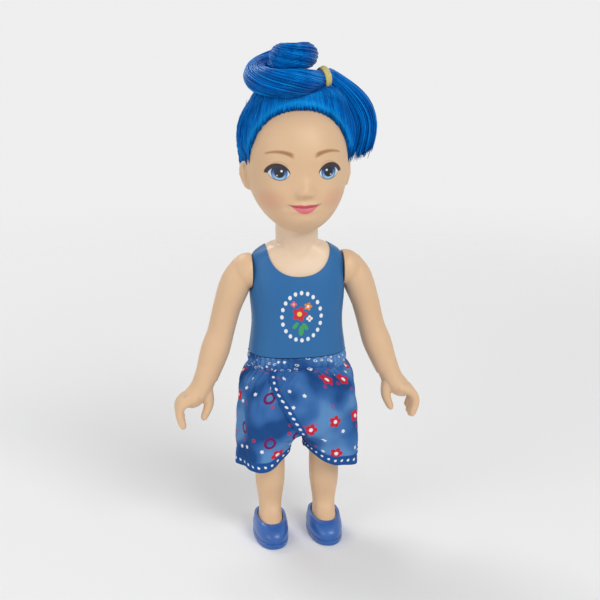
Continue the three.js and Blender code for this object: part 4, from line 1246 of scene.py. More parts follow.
def bun_heart(count, steps):
    """The hair wound inside the knot, which closes the middle of the loops."""
    centre = np.array([BUN_SIDE, 0, bun_z]) + HEART_OFFSET
    begin = spread(0, 2 * math.pi, count)
    angle = begin + spread(0.8, 3, count) * np.linspace(0, 1, steps)[None]
    tilt = spread(-1.2, 1.5, count) + 0.15 * np.sin(angle)
    out = spread(0.98, 1.04, count)
    ring = points_at(np.cos(angle) * np.cos(tilt), np.sin(angle) * np.cos(tilt), np.sin(tilt))
    hairs = tubes(centre + ring * HEART_RADII * out[..., None], spread(0.12, 0.22, count))
    return merged(ellipsoid(HEART_RADII, centre), hairs)


def tail_strands(count, steps):
    """A fan of loose hairs with a blunt, slanting end, higher on the outer side."""
    angle = spread(0, 2 * math.pi, count)
    out = np.sqrt(spread(0.3, 1, count))
    slant = -0.11 * np.sin(angle) * out
    end = np.clip(FAN_END + slant + stray(0, 0.025, count), 0.7, 1)
    share = end * np.linspace(0, 1, steps)[None]
    wander = stray(0, 0.1, count) * share
    splay = 1 + stray(0.02, 0.06, count) * share
    paths = hank_strands(tail, BACKWARD, share, angle + wander, out * splay, tail_half(TAIL_WIDTH),
                         tail_half(TAIL_THICKNESS))
    return tubes(paths, spread(0.12, 0.24, count))


def build_hair(material):
    cap = merged(cap_base(), cap_strands(COMBED_HAIRS, 12), flyaways(STRAY_HAIRS, 8))
    cap = new_object("hair_combed", moved(cap, CHIN))
    weld(cap)
    finish_piece(cap, "head", "hair_cap", material)

    hank = strand(bun, 90, 32, bun_radius, bun_radius, UPWARD)
    knot = merged(hank, bun_strands(KNOT_HAIRS, 44), bun_heart(HEART_HAIRS, 16))
    finish_piece(new_object("hair_topknot", moved(knot, CHIN)), "head", "hair_bun", material)

    ending = Path(tail.at(np.linspace(0, FAN_CORE_END, 80)))
    core = strand(ending, 40, 28, fan_core_half(TAIL_WIDTH), fan_core_half(TAIL_THICKNESS), BACKWARD)
    fan = merged(core, tail_strands(FAN_HAIRS, 15))
    finish_piece(new_object("hair_fan", moved(fan, CHIN)), "head", "hair_tail", material)


def build_elastic(material):
    """A rubber thread wound three times round the hank."""
    turns, thread, pitch = 3, 0.5, 0.82
    share = np.linspace(0, 1, 160)
    middle = tail.at(TIE_SHARE)
    along = tail.along(TIE_SHARE)
    side, up = tail.frame(np.array([TIE_SHARE]), np.array(BACKWARD, float))
    angle = share * turns * 2 * math.pi
    radius = (TAIL_ROOT_RADIUS + 0.35 + 0.08 * np.sin(angle * 2 + 1))[:, None]
    ring = side * np.cos(angle)[:, None] + up * np.sin(angle)[:, None]
    lean = -0.6 * ring[:, :1] / along[0]
    line = middle + along * ((share[:, None] - 0.5) * turns * pitch + radius * lean) + ring * radius
    girth = tapered(thread, 1, 0, 0.4, 0.02, 0.02)
    wound = strand(Path(line), 200, 12, girth, girth, along)
    finish_piece(new_object("elastic_wound", moved(wound, CHIN)), "head", "hair_elastic", material)


# Torso, in the doll's frame

rib_z = waist_z + WAIST_TO_SHOULDER * 0.36
chest_z = waist_z + WAIST_TO_SHOULDER * 0.74
slope_z = shoulder_z + SHOULDER_RISE * 0.64
drum_z = hip_z + HIP_RADIUS + 2 * GAP
drum_half = WAIST_WIDTH / 2 - WAIST_STEP
drum_depth = WAIST_DEPTH / 2 - WAIST_STEP
NECK_TUCK = 0.7
TOP_SQUARENESS = 2.4
PELVIS_SQUARENESS = 3.4


def top_form(inset, rows=60, count=140, start=waist_z):
    """The moulded top as one full form from a starting height, drawn in by an inset."""
    rib_depth = (WAIST_DEPTH + CHEST_DEPTH) / 2
    at = smooth([
        [waist_z, WAIST_WIDTH / 2, WAIST_DEPTH / 2, WAIST_DEPTH / 2],
        [rib_z, RIB_WIDTH / 2, rib_depth / 2 + 0.3, rib_depth / 2 - 0.5],
        [chest_z, CHEST_WIDTH / 2, CHEST_DEPTH / 2 + 0.3, CHEST_DEPTH / 2],
        [shoulder_z, SHOULDER_WIDTH / 2, SHOULDER_DEPTH / 2, SHOULDER_DEPTH / 2],
        [slope_z, SHOULDER_WIDTH / 2 - 1.6, SHOULDER_DEPTH * 0.4, SHOULDER_DEPTH * 0.43],
        [neck_base_z, NECK_RADIUS + 1.6, NECK_RADIUS - 0.4, NECK_RADIUS],
    ])
    rings = []
    for z in np.linspace(start, neck_base_z, rows):
        half, front, back = at(z) - inset
        level = z - inset if z == neck_base_z else z
        rings.append(level_ring(level, half, front, back, squareness=TOP_SQUARENESS, count=count))
    return loft(rings)


def drum():
    """The narrower stretch under the top's lower edge, where the waistband sits."""
    rings = []
    for z in (drum_z, waist_z + GAP):
        rings.append(level_ring(z, drum_half, drum_depth, drum_depth, squareness=TOP_SQUARENESS, count=140))
    return loft(rings)


def pelvis():
    """The block between the legs, rounded underneath about the hip axis."""
    depth = min(PELVIS_DEPTH / 2, PELVIS_DROP)
    rings = []
    for angle in np.linspace(0.3, math.asin(depth / PELVIS_DROP), 16):
        reach = PELVIS_DROP * math.sin(angle)
        z = hip_z - PELVIS_DROP * math.cos(angle)
        rings.append(level_ring(z, PELVIS_WIDTH / 2, reach, reach, squareness=PELVIS_SQUARENESS, count=80))
    rings.append(level_ring(waist_z, PELVIS_WIDTH / 2, depth, depth, squareness=PELVIS_SQUARENESS, count=80))
    return loft(rings)


def neckline(inset, bottom, back_side):
    """The neckline opening, as wide as the inner edges of the straps."""
    half = NECKLINE_WIDTH / 2 - inset
    low = bottom + inset
    t = np.linspace(0, 1, 24)
    x = bezier(-half, -half, -half * 0.75, 0, t)
    z = bezier(neck_base_z, (neck_base_z + low) / 2, low, low, t)
    across = np.concatenate([[-half], x, -x[-2::-1], [half]])
    up = np.concatenate([[FAR + neck_base_z], z, z[-2::-1], [FAR + neck_base_z]])
    near, far = (0, FAR) if back_side else (-FAR, 0)
    return loft([points_at(across, y, up) for y in (far, near)])


def necklines(inset):
    front = neckline(inset, shoulder_z - NECKLINE_DROP, False)
    return front, neckline(inset, shoulder_z + BACK_NECKLINE_RISE, True)


def build_torso(material):
    whole = new_object("torso", top_form(0))
    weld(whole)
    shape_with(whole, "UNION", drum())
    shape_with(whole, "UNION", pelvis())
    hole = PEG_RADIUS + PEG_CLEARANCE
    for side in (-1, 1):
        near, far = sorted((side * (arm_face_x - GAP), side * FAR))
        shape_with(whole, "DIFFERENCE", cylinder_x(SHOULDER_RADIUS + 2 * GAP, near, far, shoulder_z))
    shape_with(whole, "DIFFERENCE", cylinder_x(hole, -FAR, FAR, hip_z))
    shape_with(whole, "DIFFERENCE", cylinder_x(hole, -FAR / 2, FAR / 2, shoulder_z))
    for opening in necklines(0):
        shape_with(whole, "DIFFERENCE", opening)
    shape_with(whole, "DIFFERENCE", top_form(TORSO_WALL, 30, 80, waist_z + TORSO_WALL))
    seam = SEAM_GAP / 2
    halves = (("top_front", "torso_front", -seam, FAR), ("top_back", "torso_back", -FAR, seam))
    for name, node, low, high in halves:
        half = whole.copy()
        half.data = whole.data.copy()
        half.name = name
        bpy.context.scene.collection.objects.link(half)
        shape_with(half, "DIFFERENCE", block((-FAR, low, 0), (FAR, high, 3 * FAR)))
        sharpen(half)
        finish_piece(half, "torso", node, material)
    bpy.data.objects.remove(whole)


def build_neck(material):
    """The neck and the skin that shows in the neckline, with the knob that the head turns on."""
    seat = chin_z + NECK_SEAT_HEIGHT
    stem_top = seat + HEAD_WALL + GAP
    root = neck_base_z - SHOULDER_RISE * 0.25
    skin = new_object("neck_skin", top_form(NECKLINE_STEP))
    weld(skin)
    front, back = necklines(-NECK_TUCK)
    opening = new_object("opening", front)
    shape_with(opening, "UNION", back)
    corners = np.array([tuple(corner.co) for corner in opening.data.vertices]) / MM
    sides = [list(face.vertices) for face in opening.data.polygons]
    bpy.data.objects.remove(opening)
    shape_with(skin, "INTERSECT", (corners, sides))
    neck = lathe([
        (0.1, root - 5), (NECK_RADIUS, root - 5), (NECK_RADIUS, seat - GAP), (NECK_STEM_RADIUS, seat - GAP),
        (NECK_STEM_RADIUS, stem_top), (NECK_KNOB_RADIUS, stem_top), (NECK_KNOB_RADIUS, stem_top + 1.6),
        (NECK_STEM_RADIUS, stem_top + 4.4), (0.1, stem_top + 5),
    ])
    shape_with(skin, "UNION", neck)
    fuse(skin, NECK_GRAIN, 24)
    finish_piece(skin, "torso", "neck_insert", material)


# Arms and legs of the left side, in frames that start on the joint's axis at the limb's flat inner face

def peg(wall):
    """A flanged peg along -X that starts inside the limb."""
    start = -wall - 2 * GAP
    flange = [(FLANGE_RADIUS * 0.75, start - FLANGE_THICKNESS), (FLANGE_RADIUS, start)]
    return turned_x(lathe([*flange, (PEG_RADIUS, start), (PEG_RADIUS, 2)], 48))


def arm_strand():
    path = curve_through([
        (SHOULDER_RADIUS * 0.4, 0, SHOULDER_RADIUS * 0.45),
        (SHOULDER_RADIUS * 0.72, 0, -SHOULDER_RADIUS * 0.3),
        (ELBOW_OUT * 0.72, 0.2, -ELBOW_DROP * 0.5),
        (ELBOW_OUT, 0.2, -ELBOW_DROP),
        ((ELBOW_OUT + WRIST_OUT) / 2, -WRIST_FORWARD * 0.4, -(ELBOW_DROP + WRIST_DROP) / 2),
        (WRIST_OUT, -WRIST_FORWARD, -WRIST_DROP),
    ])
    thickness = smooth([
        [0, SHOULDER_RADIUS * 0.6], [0.14, ARM_RADIUS * 1.06], [0.4, ARM_RADIUS * 0.98],
        [0.6, ARM_RADIUS * 0.95], [0.75, ARM_RADIUS * 1.02], [1, WRIST_RADIUS],
    ])

    def radius(shares):
        return np.array([thickness(share)[0] for share in shares])

    return strand(path, 60, 40, radius, radius, BACKWARD)


def hand():
    """Palm, four fingers side by side and a thumb that leaves a slot to grip with."""
    knuckle_out = WRIST_OUT + HAND_SPREAD
    knuckle_z = -WRIST_DROP - HAND_LENGTH * 0.63
    tip_z = -WRIST_DROP - HAND_LENGTH
    across = FINGER_RADIUS * 1.7
    middle_y = -WRIST_FORWARD
    palm = curve_through([
        (WRIST_OUT - 0.8, middle_y, -WRIST_DROP + 3),
        (WRIST_OUT + HAND_SPREAD * 0.2, middle_y, -WRIST_DROP - HAND_LENGTH * 0.22),
        (knuckle_out - FINGER_RADIUS * 2.4, middle_y, knuckle_z + HAND_LENGTH * 0.1),
    ])

    def breadth(share):
        wide = (WRIST_RADIUS + (across * 2.1 - WRIST_RADIUS) * share) * rounded(share, 0, 0.3)
        return np.maximum(1, wide)

    thick = tapered(WRIST_RADIUS, 1, -0.12, 0.35, 0, 0.3)
    finger_girth = tapered(FINGER_RADIUS, 1.15, -0.25, 0.35, 0, 0.12)
    thumb_girth = tapered(THUMB_RADIUS, 1.6, -0.8, 0.35, 0.1, 0.14)
    shapes = [strand(palm, 30, 36, breadth, thick, BACKWARD)]
    for finger, shorter in enumerate(FINGER_SHORTENING):
        y = middle_y + (finger - 1.5) * across
        curl = curve_through([
            (WRIST_OUT + HAND_SPREAD * 0.3, y, -WRIST_DROP - HAND_LENGTH * 0.3),
            (knuckle_out - FINGER_RADIUS * 1.7, y, knuckle_z + FINGER_RADIUS * 1.9),
            (knuckle_out - FINGER_RADIUS, y, knuckle_z),
            (knuckle_out - FINGER_RADIUS * 2, y, tip_z + shorter),
        ])
        shapes.append(strand(curl, 40, 24, finger_girth, finger_girth, BACKWARD))
    thumb_x = knuckle_out - FINGER_RADIUS * 3 - GRIP_SLOT - THUMB_RADIUS
    thumb_y = middle_y - across * 0.6
    thumb = curve_through([
        (WRIST_OUT + 0.3, thumb_y + 0.4, -WRIST_DROP - HAND_LENGTH * 0.12),
        (thumb_x - 2, thumb_y, -WRIST_DROP - HAND_LENGTH * 0.48),
        (thumb_x, thumb_y, -WRIST_DROP - HAND_LENGTH * 0.84),
    ])
    return [*shapes, strand(thumb, 40, 24, thumb_girth, thumb_girth, BACKWARD)]


def build_limbs(kind, shapes, grain, softening, keep_out, peg_wall, place, material):
    """A pair of limbs as smooth skins, flat where they lie against the body, with their pegs."""
    for name, side in SIDES:
        limb = new_object(f"{kind}_skin_{name}", moved(merged(*shapes), place))
        fuse(limb, grain, softening)
        shape_with(limb, "DIFFERENCE", moved(keep_out, place))
        shape_with(limb, "UNION", moved(peg(peg_wall), place))
        if side < 0:
            limb.data.transform(((-1, 0, 0, 0), (0, 1, 0, 0), (0, 0, 1, 0), (0, 0, 0, 1)))
            limb.data.flip_normals()
        sharpen(limb, 50)
        finish_piece(limb, f"{kind}_{name}", f"{kind}_{name}", material)


def build_arms(material):
    radii = (SHOULDER_RADIUS * 0.95, SHOULDER_RADIUS, SHOULDER_RADIUS)
    shapes = [ellipsoid(radii, (SHOULDER_RADIUS * 0.2, 0, 0)), arm_strand(), *hand()]
    beside = block((-FAR, -FAR, -FAR), (0, FAR, FAR))
    place = (arm_face_x, 0, shoulder_z)
    build_limbs("arm", shapes, ARM_GRAIN, 20, beside, TORSO_WALL + 1, place, material)


ankle_z = ANKLE_HEIGHT - LEG_LENGTH
sole_top_z = SOLE_THICKNESS + GAP - LEG_LENGTH
leg_x = LEG_SPREAD - leg_face_x
toe_y = FOOT_LENGTH - FOOT_BACK
LEG_SQUARENESS = 2.2
SHOE_SQUARENESS = 2.3


def leg_form(grow):
    """Leg and foot, all grown alike."""
    thigh_x = THIGH_WIDTH / 2
    knee_z = KNEE_HEIGHT - LEG_LENGTH
    calf_z = (knee_z + ankle_z) / 2
    at = smooth([
        [sole_top_z, leg_x, FOOT_WIDTH / 2 - 0.5, toe_y - 0.6, FOOT_BACK - 0.6],
        [sole_top_z + 1.6, leg_x, FOOT_WIDTH / 2, toe_y, FOOT_BACK],
        [sole_top_z + 4.2, leg_x, FOOT_WIDTH / 2 - 0.5, toe_y * 0.72, FOOT_BACK - 0.6],
        [ankle_z, leg_x, ANKLE_WIDTH / 2, ANKLE_WIDTH * 0.52, ANKLE_WIDTH * 0.56],
        [calf_z, leg_x, CALF_WIDTH / 2, CALF_WIDTH * 0.48, CALF_WIDTH * 0.6],
        [knee_z, leg_x, KNEE_WIDTH / 2, KNEE_WIDTH * 0.56, KNEE_WIDTH * 0.54],
        [-HIP_RADIUS - 5, (leg_x + thigh_x) / 2, THIGH_WIDTH * 0.53, HIP_RADIUS * 0.8, HIP_RADIUS * 0.86],
        [-HIP_RADIUS * 0.5, thigh_x, THIGH_WIDTH / 2, HIP_RADIUS * 0.9, HIP_RADIUS * 0.93],
    ])
    rings = []
    for z in np.linspace(sole_top_z, -HIP_RADIUS * 0.5, 110):
        x, half, front, back = at(z)
        level = z - grow if z == sole_top_z else z
        rings.append(level_ring(level, half + grow, front + grow, back + grow, x, LEG_SQUARENESS, 72))
    return loft(rings)


def hip_disc():
    """The round top of the thigh, turned about the hip axis and rounded on its outer face."""
    profile = [(0.1, 0), (HIP_RADIUS, 0), (HIP_RADIUS, THIGH_WIDTH * 0.45)]
    for angle in np.linspace(0, math.pi / 2, 16)[1:]:
        radius = max(0.1, HIP_RADIUS * math.cos(angle))
        profile.append((radius, THIGH_WIDTH * (0.45 + 0.5 * math.sin(angle))))
    return turned_x(lathe(profile))


def build_legs(material):
    pelvis_reach = PELVIS_DROP + 2 * GAP
    beside = block((-FAR, -FAR, -pelvis_reach), (0, FAR, FAR))
    place = (leg_face_x, 0, hip_z)
    build_limbs("leg", [hip_disc(), leg_form(0)], LEG_GRAIN, 4, beside, TORSO_WALL, place, material)


def build_shoes(material):
    """Slip-on shoes with a step above the sole and a low throat."""
    floor_z = -LEG_LENGTH
    half = FOOT_WIDTH / 2 + GAP + SHOE_WALL
    front = toe_y + GAP + SHOE_WALL
    back = FOOT_BACK + GAP + SHOE_WALL
    levels = [
        (0, 0.5, 0.5, 0.5), (0.25, 0.12, 0.12, 0.12), (0.5, 0, 0, 0), (SOLE_THICKNESS - 0.1, 0, 0, 0),
        (SOLE_THICKNESS + 0.05, 0.28, 0.28, 0.28), (SOLE_THICKNESS + 0.25, 0.3, 0.3, 0.3),
        (SOLE_THICKNESS + 0.5, 0.08, 0.1, 0.08), (SHOE_HEIGHT * 0.55, 0, 0.2, 0),
        (SHOE_HEIGHT * 0.68, 0.1, 0.8, 0), (SHOE_HEIGHT * 0.8, 0.3, 1.8, 0.1),
        (SHOE_HEIGHT * 0.9, 0.38, 2.9, 0.2), (SHOE_HEIGHT, 0.5, 4.2, 0.3),
    ]
    rings = []
    for up, narrow, short, heel in levels:
        sizes = (half - narrow, front - short, back - heel)
        rings.append(level_ring(floor_z + up, *sizes, leg_x, SHOE_SQUARENESS, 110))
    throat = []
    for up in (SHOE_HEIGHT * 0.72, SHOE_HEIGHT + 1):
        sizes = (half - SHOE_WALL - 0.5, toe_y * 0.5, FOOT_BACK)
        throat.append(level_ring(floor_z + up, *sizes, leg_x, SHOE_SQUARENESS, 90))
    for name, side in SIDES:
        place = np.array([leg_face_x, 0, hip_z])
        shapes = [moved(shape, place) for shape in (loft(rings), leg_form(GAP), loft(throat))]
        outside, foot, opening = shapes if side > 0 else [mirrored(shape) for shape in shapes]
        shoe = new_object(f"shoe_moulded_{name}", outside)
        shape_with(shoe, "DIFFERENCE", foot)
        shape_with(shoe, "DIFFERENCE", opening)
        sharpen(shoe, 50)
        finish_piece(shoe, f"leg_{name}", f"shoe_{name}", material)


# Shorts, in the doll's frame

band_top_z = waist_z - GAP
band_bottom_z = band_top_z - WAISTBAND_HEIGHT
cloth_top_z = band_bottom_z - GAP
hem_inner_x = HEM_GAP / 2
seam_x = 0.02
CLOTH = 0.5
HEM_HEIGHT = 2
HEM_RISE = 4
LAP_LIFT = 0.62
LAP_HEIGHTS = (SHORTS_CROTCH + 0.5, 52, 55)
LAP_REACHES = (0, 9.2, 10)
LAP_SPLIT = 4.2
LEAST_LAP = 0.4
PHASES = {1: 0, -1: 2}
BAND_POINTS = 440
LINE_POINTS = 700
PANEL_COLUMNS = 240
LAP_COLUMNS = 30
PANEL_ROWS = 110
TUCKS = ((0.16, 0.06), (0.3, 0.24), (0.4, 0.5), (0.6, 0.85), (1, 0.95))

# Where the right panel and cloth without a border lie on the flat layouts
RIGHT_PANEL = 100
NO_BORDER = 100


def lay_out(obj, name, layout):
    """Gives a cloth piece a flat layout in millimetres."""
    mesh = obj.data
    corners = np.empty(len(mesh.loops), np.int32)
    mesh.loops.foreach_get("vertex_index", corners)
    layer = mesh.uv_layers.new(name=name)
    layer.data.foreach_set("uv", np.asarray(layout, np.float32)[corners].ravel())


def build_waistband(material):
    """The gathered casing of the waist elastic: a ring of little pleats between two rows of stitching."""
    inner_half = drum_half + GAP
    inner_depth = drum_depth + GAP
    count = BAND_POINTS
    angle = turn(count)

    def ring(z, push=0):
        return level_ring(z, inner_half, inner_depth, inner_depth, 0, TOP_SQUARENESS, count, push)

    ridges = np.abs(np.cos(GATHERS * angle + 0.5 * np.sin(3 * angle) + 0.3 * np.sin(7 * angle)))
    outs = []
    for share in np.linspace(0, 1, 25):
        stitched = math.exp(-((share - 0.2) / 0.06) ** 2) + math.exp(-((share - 0.8) / 0.06) ** 2)
        swell = 0.34 * math.sin(math.pi * share) - 0.22 * stitched
        frill = 1 + 0.5 * smoothstep(abs(share - 0.5), 0.3, 0.5)
        ripple = GATHER_DEPTH * (1 - 0.4 * stitched) * frill * (2.4 * ridges - 1.6)
        push = WAISTBAND_THICKNESS + swell + ripple
        outs.append(ring(band_bottom_z + WAISTBAND_HEIGHT * share, push))
    rings = np.asarray([*outs, ring(band_top_z - 0.1), ring(band_bottom_z + 0.1)])
    levels = len(rings)
    index = np.arange(levels * count).reshape(levels, count)
    faces = walls(index, np.roll(index, -1, axis=0))
    band = new_object("waistband_gathered", (rings.reshape(-1, 3), faces))
    round_waist = 2 * math.pi * math.sqrt((inner_half ** 2 + inner_depth ** 2) / 2)
    along = np.broadcast_to(angle / (2 * math.pi) * round_waist, (levels, count))
    lay_out(band, "cloth", np.stack([along, rings[..., 2]], -1).reshape(-1, 2))
    finish_piece(band, "torso", "waistband", material)
    return band


def panel_line(z):
    """The plain line of one panel at a height, from its front seam round the side to its back seam."""
    band_half = drum_half + GAP + WAISTBAND_THICKNESS + 0.4
    band_depth = drum_depth + GAP + WAISTBAND_THICKNESS + 0.4
    half = SHORTS_WIDTH / 2
    depth = SHORTS_DEPTH / 2
    at = smooth([
        [SHORTS_HEM, (half + hem_inner_x) / 2, half, HEM_DEPTH / 2, 2.2],
        [SHORTS_CROTCH, half * 0.52, half, depth * 0.93, 3],
        [(SHORTS_CROTCH + cloth_top_z) / 2, half * 0.36, half - 0.6, depth, 7],
        [cloth_top_z - 3, half * 0.22, (band_half + half) / 2, band_depth + 1.4, 8],
        [cloth_top_z, half * 0.2, band_half, band_depth, 8],
    ])
    middle, outer, deep, flatness = at(min(z, cloth_top_z))
    below = max(0, (SHORTS_CROTCH - z) / (SHORTS_CROTCH - SHORTS_HEM))
    past = 4 * smoothstep(z, SHORTS_CROTCH, SHORTS_CROTCH + 3)
    inner = seam_x - past + (hem_inner_x - seam_x) * below ** 0.7
    kept = (middle - seam_x) / (middle - seam_x + past)
    seam_angle = math.acos(-min(1, kept ** (flatness / 2)))
    angle = np.linspace(-1, 1, 2401) * seam_angle
    cos = np.cos(angle)
    squareness = np.where(cos > 0, 2.2, flatness)
    x = middle + np.where(cos > 0, outer - middle, middle - inner) * power(cos, 2 / squareness)
    y = deep * power(np.sin(angle), 2 / squareness)
    return evenly(np.stack([x, y], -1), LINE_POINTS)


def evenly(line, count):
    """A line laid out again with even steps, and how far along it each point is."""
    way = way_along(line)
    even = np.linspace(0, way[-1], count)
    return np.stack([np.interp(even, way, axis) for axis in line.T], -1), even


def draped_line(z, tuck, phase, lift):
    """The line of a panel with its folds; a lift raises its front edge clear of the other panel."""
    line, along = panel_line(z)
    tangent = unit(np.gradient(line, axis=0))
    outward = np.stack([tangent[:, 1], -tangent[:, 0]], -1)
    from_side = along - along[-1] / 2
    from_seam = along[-1] / 2 - np.abs(from_side)
    down = (cloth_top_z - z) / (cloth_top_z - SHORTS_HEM)
    clear = smoothstep(from_seam, 0, 2.5)
    loose = smoothstep(line[:, 0], hem_inner_x, hem_inner_x + 6)
    wander = 0.62 * from_side + phase + 1.4 * down + np.sin(0.21 * from_side)
    fold = FOLD_DEPTH * 1.1 * (0.25 + 0.75 * down) * np.sin(wander)
    bunch = np.cos(3.1 * from_side + 1.3 * np.sin(0.5 * from_side + phase))
    gather = 0.42 * math.exp(-abs(down) * 4.5) * bunch * (1 - tuck)
    level = np.sin(17 * down + 3 * np.sin(0.17 * from_side + phase))
    crease = 0.24 * np.sin(0.9 * from_side + 9 * down + phase) * level * (0.3 + 0.7 * loose)
    valley = -0.4 * np.exp(-(from_seam / 0.5) ** 2) * (1 - lift * (from_side < 0))
    turned_hem = 0.25 * smoothstep(z, SHORTS_HEM + HEM_HEIGHT + 0.15, SHORTS_HEM + HEM_HEIGHT - 0.15)
    push = (fold * loose + gather + crease) * clear + valley + turned_hem - tuck
    raised = LAP_LIFT * lift * smoothstep(along, 4, 0.5) * (1 - tuck)
    points = line + outward * (push + raised)[:, None]
    return np.stack([np.maximum(points[:, 0], seam_x), points[:, 1]], -1), along


def lap_reach(z):
    """How far the left panel laps over the right one at a height."""
    return np.interp(z, LAP_HEIGHTS, LAP_REACHES)


def lap_parts(z, tuck):
    """What laps over the right panel, in its frame: the part beside the leg and the part over it."""
    lap = lap_reach(z)
    lift = smoothstep(lap, 0, 2)
    line, along = draped_line(z, tuck, PHASES[-1], lift)
    covered = along < lap
    over = line[covered]
    over[:, 1] -= LAP_LIFT * (1 - tuck) * lift * smoothstep(along[covered], 0.5, 4)
    if lap == 0 or over[-1, 0] < LAP_SPLIT + LEAST_LAP:
        return over, over[:0]
    split = [LAP_SPLIT, np.interp(LAP_SPLIT, *over.T)]
    beside = over[:, 0] < LAP_SPLIT
    return np.vstack([over[beside], split]), np.vstack([split, over[~beside]])


def panel_row(z, tuck, side):
    """One row of a panel: points, their places across the cloth and how far the lapped edge is."""
    phase = PHASES[side]
    lift = smoothstep(lap_reach(z), 0, 2) if side > 0 else 0
    line, along = draped_line(z, tuck, phase, lift)
    half_way = along[-1] / 2
    beyond = NO_BORDER
    if side > 0:
        near, far = lap_parts(z, tuck)
        line = np.concatenate([near[::-1] * (-1, 1), line])
        half_way += steps_of(near).sum()
        beyond = steps_of(far).sum()
    line, along = evenly(line, PANEL_COLUMNS)
    from_side = along - half_way
    near_hem = smoothstep(z, SHORTS_HEM + 12, SHORTS_HEM)
    inward = smoothstep(line[:, 0], 11, 2) * smoothstep(line[:, 1], 9, -3)
    rise = HEM_RISE * inward + 0.3 * np.sin(0.3 * from_side + phase) * (1 - inward)
    points = np.column_stack([line, z + rise * near_hem])
    return points, from_side + RIGHT_PANEL * (side < 0), along + beyond


def lap_row(z, tuck):
    """One row of the lap's edge, which lies over the right leg and moves with the right panel."""
    near, far = lap_parts(z, tuck)
    half_way = panel_line(z)[1][-1] / 2 + steps_of(near).sum()
    far, way = evenly(far, LAP_COLUMNS)
    return np.column_stack([far, np.full(LAP_COLUMNS, z)]), -half_way - way, way[-1] - way


def woven(rows, up):
    """A stretch of cloth through rows: its shape, its two flat layouts and its area."""
    grid, across, from_edge = [np.asarray(values) for values in zip(*rows)]
    index = np.arange(across.size).reshape(across.shape)
    quads = np.stack([index[:-1, :-1], index[:-1, 1:], index[1:, 1:], index[1:, :-1]], -1).reshape(-1, 4)
    tall = np.broadcast_to(up[:, None], across.shape)
    layouts = [np.stack([values, tall], -1).reshape(-1, 2) for values in (across, from_edge)]
    cells = np.cross(grid[:-1, 1:] - grid[:-1, :-1], grid[1:, :-1] - grid[:-1, :-1])
    return (grid.reshape(-1, 3), quads.tolist()), layouts, np.linalg.norm(cells, axis=-1).sum()


def build_shorts_panel(name, side):
    levels = [(z, 0) for z in np.linspace(SHORTS_HEM, cloth_top_z, PANEL_ROWS)]
    levels += [(cloth_top_z + up, tuck) for up, tuck in TUCKS]
    rows = [panel_row(z, tuck, side) for z, tuck in levels]
    profile = np.asarray([(*panel_line(z)[0][LINE_POINTS // 2], z) for z, _ in levels])
    up = SHORTS_HEM + way_along(profile)
    stretches = [woven(rows, up)]
    if side < 0:
        lapped = [i for i, level in enumerate(levels) if len(lap_parts(*level)[1])]
        stretches.append(woven([lap_row(*levels[i]) for i in lapped], up[lapped]))
    shape = merged(*[shape for shape, _, _ in stretches])
    panel = new_object(name, shape if side > 0 else mirrored(shape))
    for layer, layouts in zip(("cloth", "edge"), zip(*[layouts for _, layouts, _ in stretches])):
        lay_out(panel, layer, np.vstack(layouts))
    solidify = panel.modifiers.new("cloth", "SOLIDIFY")
    solidify.thickness = CLOTH * MM
    solidify.offset = -1
    settle(panel)
    sharpen(panel, 50)
    width = max(steps_of(points).sum() for points, _, _ in rows)
    return panel, width, up[-1] - up[0], sum(area for _, _, area in stretches)


def build_shorts():
    cloth = cloth_paint("cloth", True)
    band = build_waistband(cloth_paint("cloth_band", False))
    for name, side in SIDES:
        panel, width, length, area = build_shorts_panel(f"shorts_sewn_{name}", side)
        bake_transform(panel)
        finish_piece(panel, None, f"shorts_{name}", cloth)
        width * MM
        length * MM
        area * MM * MM


# Studio, in metres and watts, with the lens in millimetres

MIDDLE = Vector((0.001, 0, 0.077))
LAMPS = (
    ("key", (0.4, -0.75, 0.75), 0.55, 5.6),
    ("fill", (-0.7, -0.5, 0.4), 0.6, 1.9),
    ("back", (-0.3, 0.5, 0.75), 0.4, 2.4),
)
SURROUND_LIGHT = 0.36
SURROUND_SEEN = 0.86
FLOOR_REACH = 1
FADE_RADIUS = 0.34
FADE_SOFT = 0.22
CAMERA_TURN = math.radians(-9)
CAMERA_RISE = math.radians(16)
CAMERA_DISTANCE = 0.38
CAMERA_LENS = 75


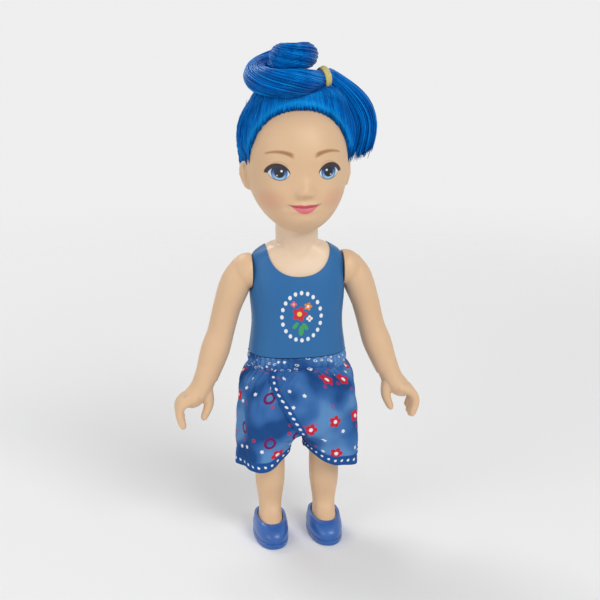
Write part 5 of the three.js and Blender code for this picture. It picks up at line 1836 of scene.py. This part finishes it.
def build_stage():
    """A pale floor that fades into an even pale surround, with soft lamps."""
    reach = FLOOR_REACH / MM
    corners = [(-reach, -reach, 0), (reach, -reach, 0), (reach, reach, 0), (-reach, reach, 0)]
    ground = new_object("floor", (corners, [(0, 1, 2, 3)]))
    floor = Paint("floor", linear(246, 246, 246), 0.8)
    place = floor.place()
    floor.rough(floor.noise(place, 0.02) * 0.1 + 0.75)
    x, y, _ = floor.parts(place)
    fade = x.hypot(y).below(FADE_RADIUS / MM, FADE_SOFT / MM)
    floor.tree.links.new(fade.socket, floor.shader.inputs["Alpha"])
    ground.data.materials.append(floor.material)
    for lamp in LAMPS:
        add_lamp(*lamp)
    light_world(SURROUND_LIGHT, SURROUND_SEEN)
    bpy.context.scene.view_settings.view_transform = "Standard"


def light_world(level, seen):
    """An even white surround that lights at one level and shows, and mirrors, at another."""
    world = bpy.data.worlds.new("studio")
    world.use_nodes = True
    tree = world.node_tree
    background = tree.nodes["Background"]
    background.inputs["Color"].default_value = (1, 1, 1, 1)
    path = tree.nodes.new("ShaderNodeLightPath")
    shows = Field(tree, path.outputs["Is Camera Ray"])
    for ray in ("Is Glossy Ray", "Is Transmission Ray"):
        shows = shows.most(Field(tree, path.outputs[ray]))
    strength = shows * (seen - level) + level
    tree.links.new(strength.socket, background.inputs["Strength"])
    bpy.context.scene.world = world


def add_lamp(name, place, size, power_watts):
    data = bpy.data.lights.new(name, "AREA")
    data.size = size
    data.energy = power_watts
    lamp = bpy.data.objects.new(name, data)
    lamp.location = place
    lamp.rotation_euler = (MIDDLE - Vector(place)).to_track_quat("-Z", "Y").to_euler()
    bpy.context.scene.collection.objects.link(lamp)


def add_camera():
    data = bpy.data.cameras.new("camera")
    data.lens = CAMERA_LENS
    camera = bpy.data.objects.new("camera", data)
    level = math.cos(CAMERA_RISE)
    away = Vector((math.sin(CAMERA_TURN) * level, -math.cos(CAMERA_TURN) * level, math.sin(CAMERA_RISE)))
    camera.location = MIDDLE + away * CAMERA_DISTANCE
    camera.rotation_euler = (-away).to_track_quat("-Z", "Y").to_euler()
    bpy.context.scene.collection.objects.link(camera)
    bpy.context.scene.camera = camera


add_camera()
build_stage()
face = vinyl("skin_face")
paint_face(face)
limb_skin = vinyl("skin").material
hair = hair_paint()
build_head(face.material)
build_hair(hair)
build_elastic(elastic_paint())
build_torso(top_paint())
build_neck(neck_paint())
build_arms(limb_skin)
build_legs(limb_skin)
build_shoes(shoe_paint())
build_shorts()
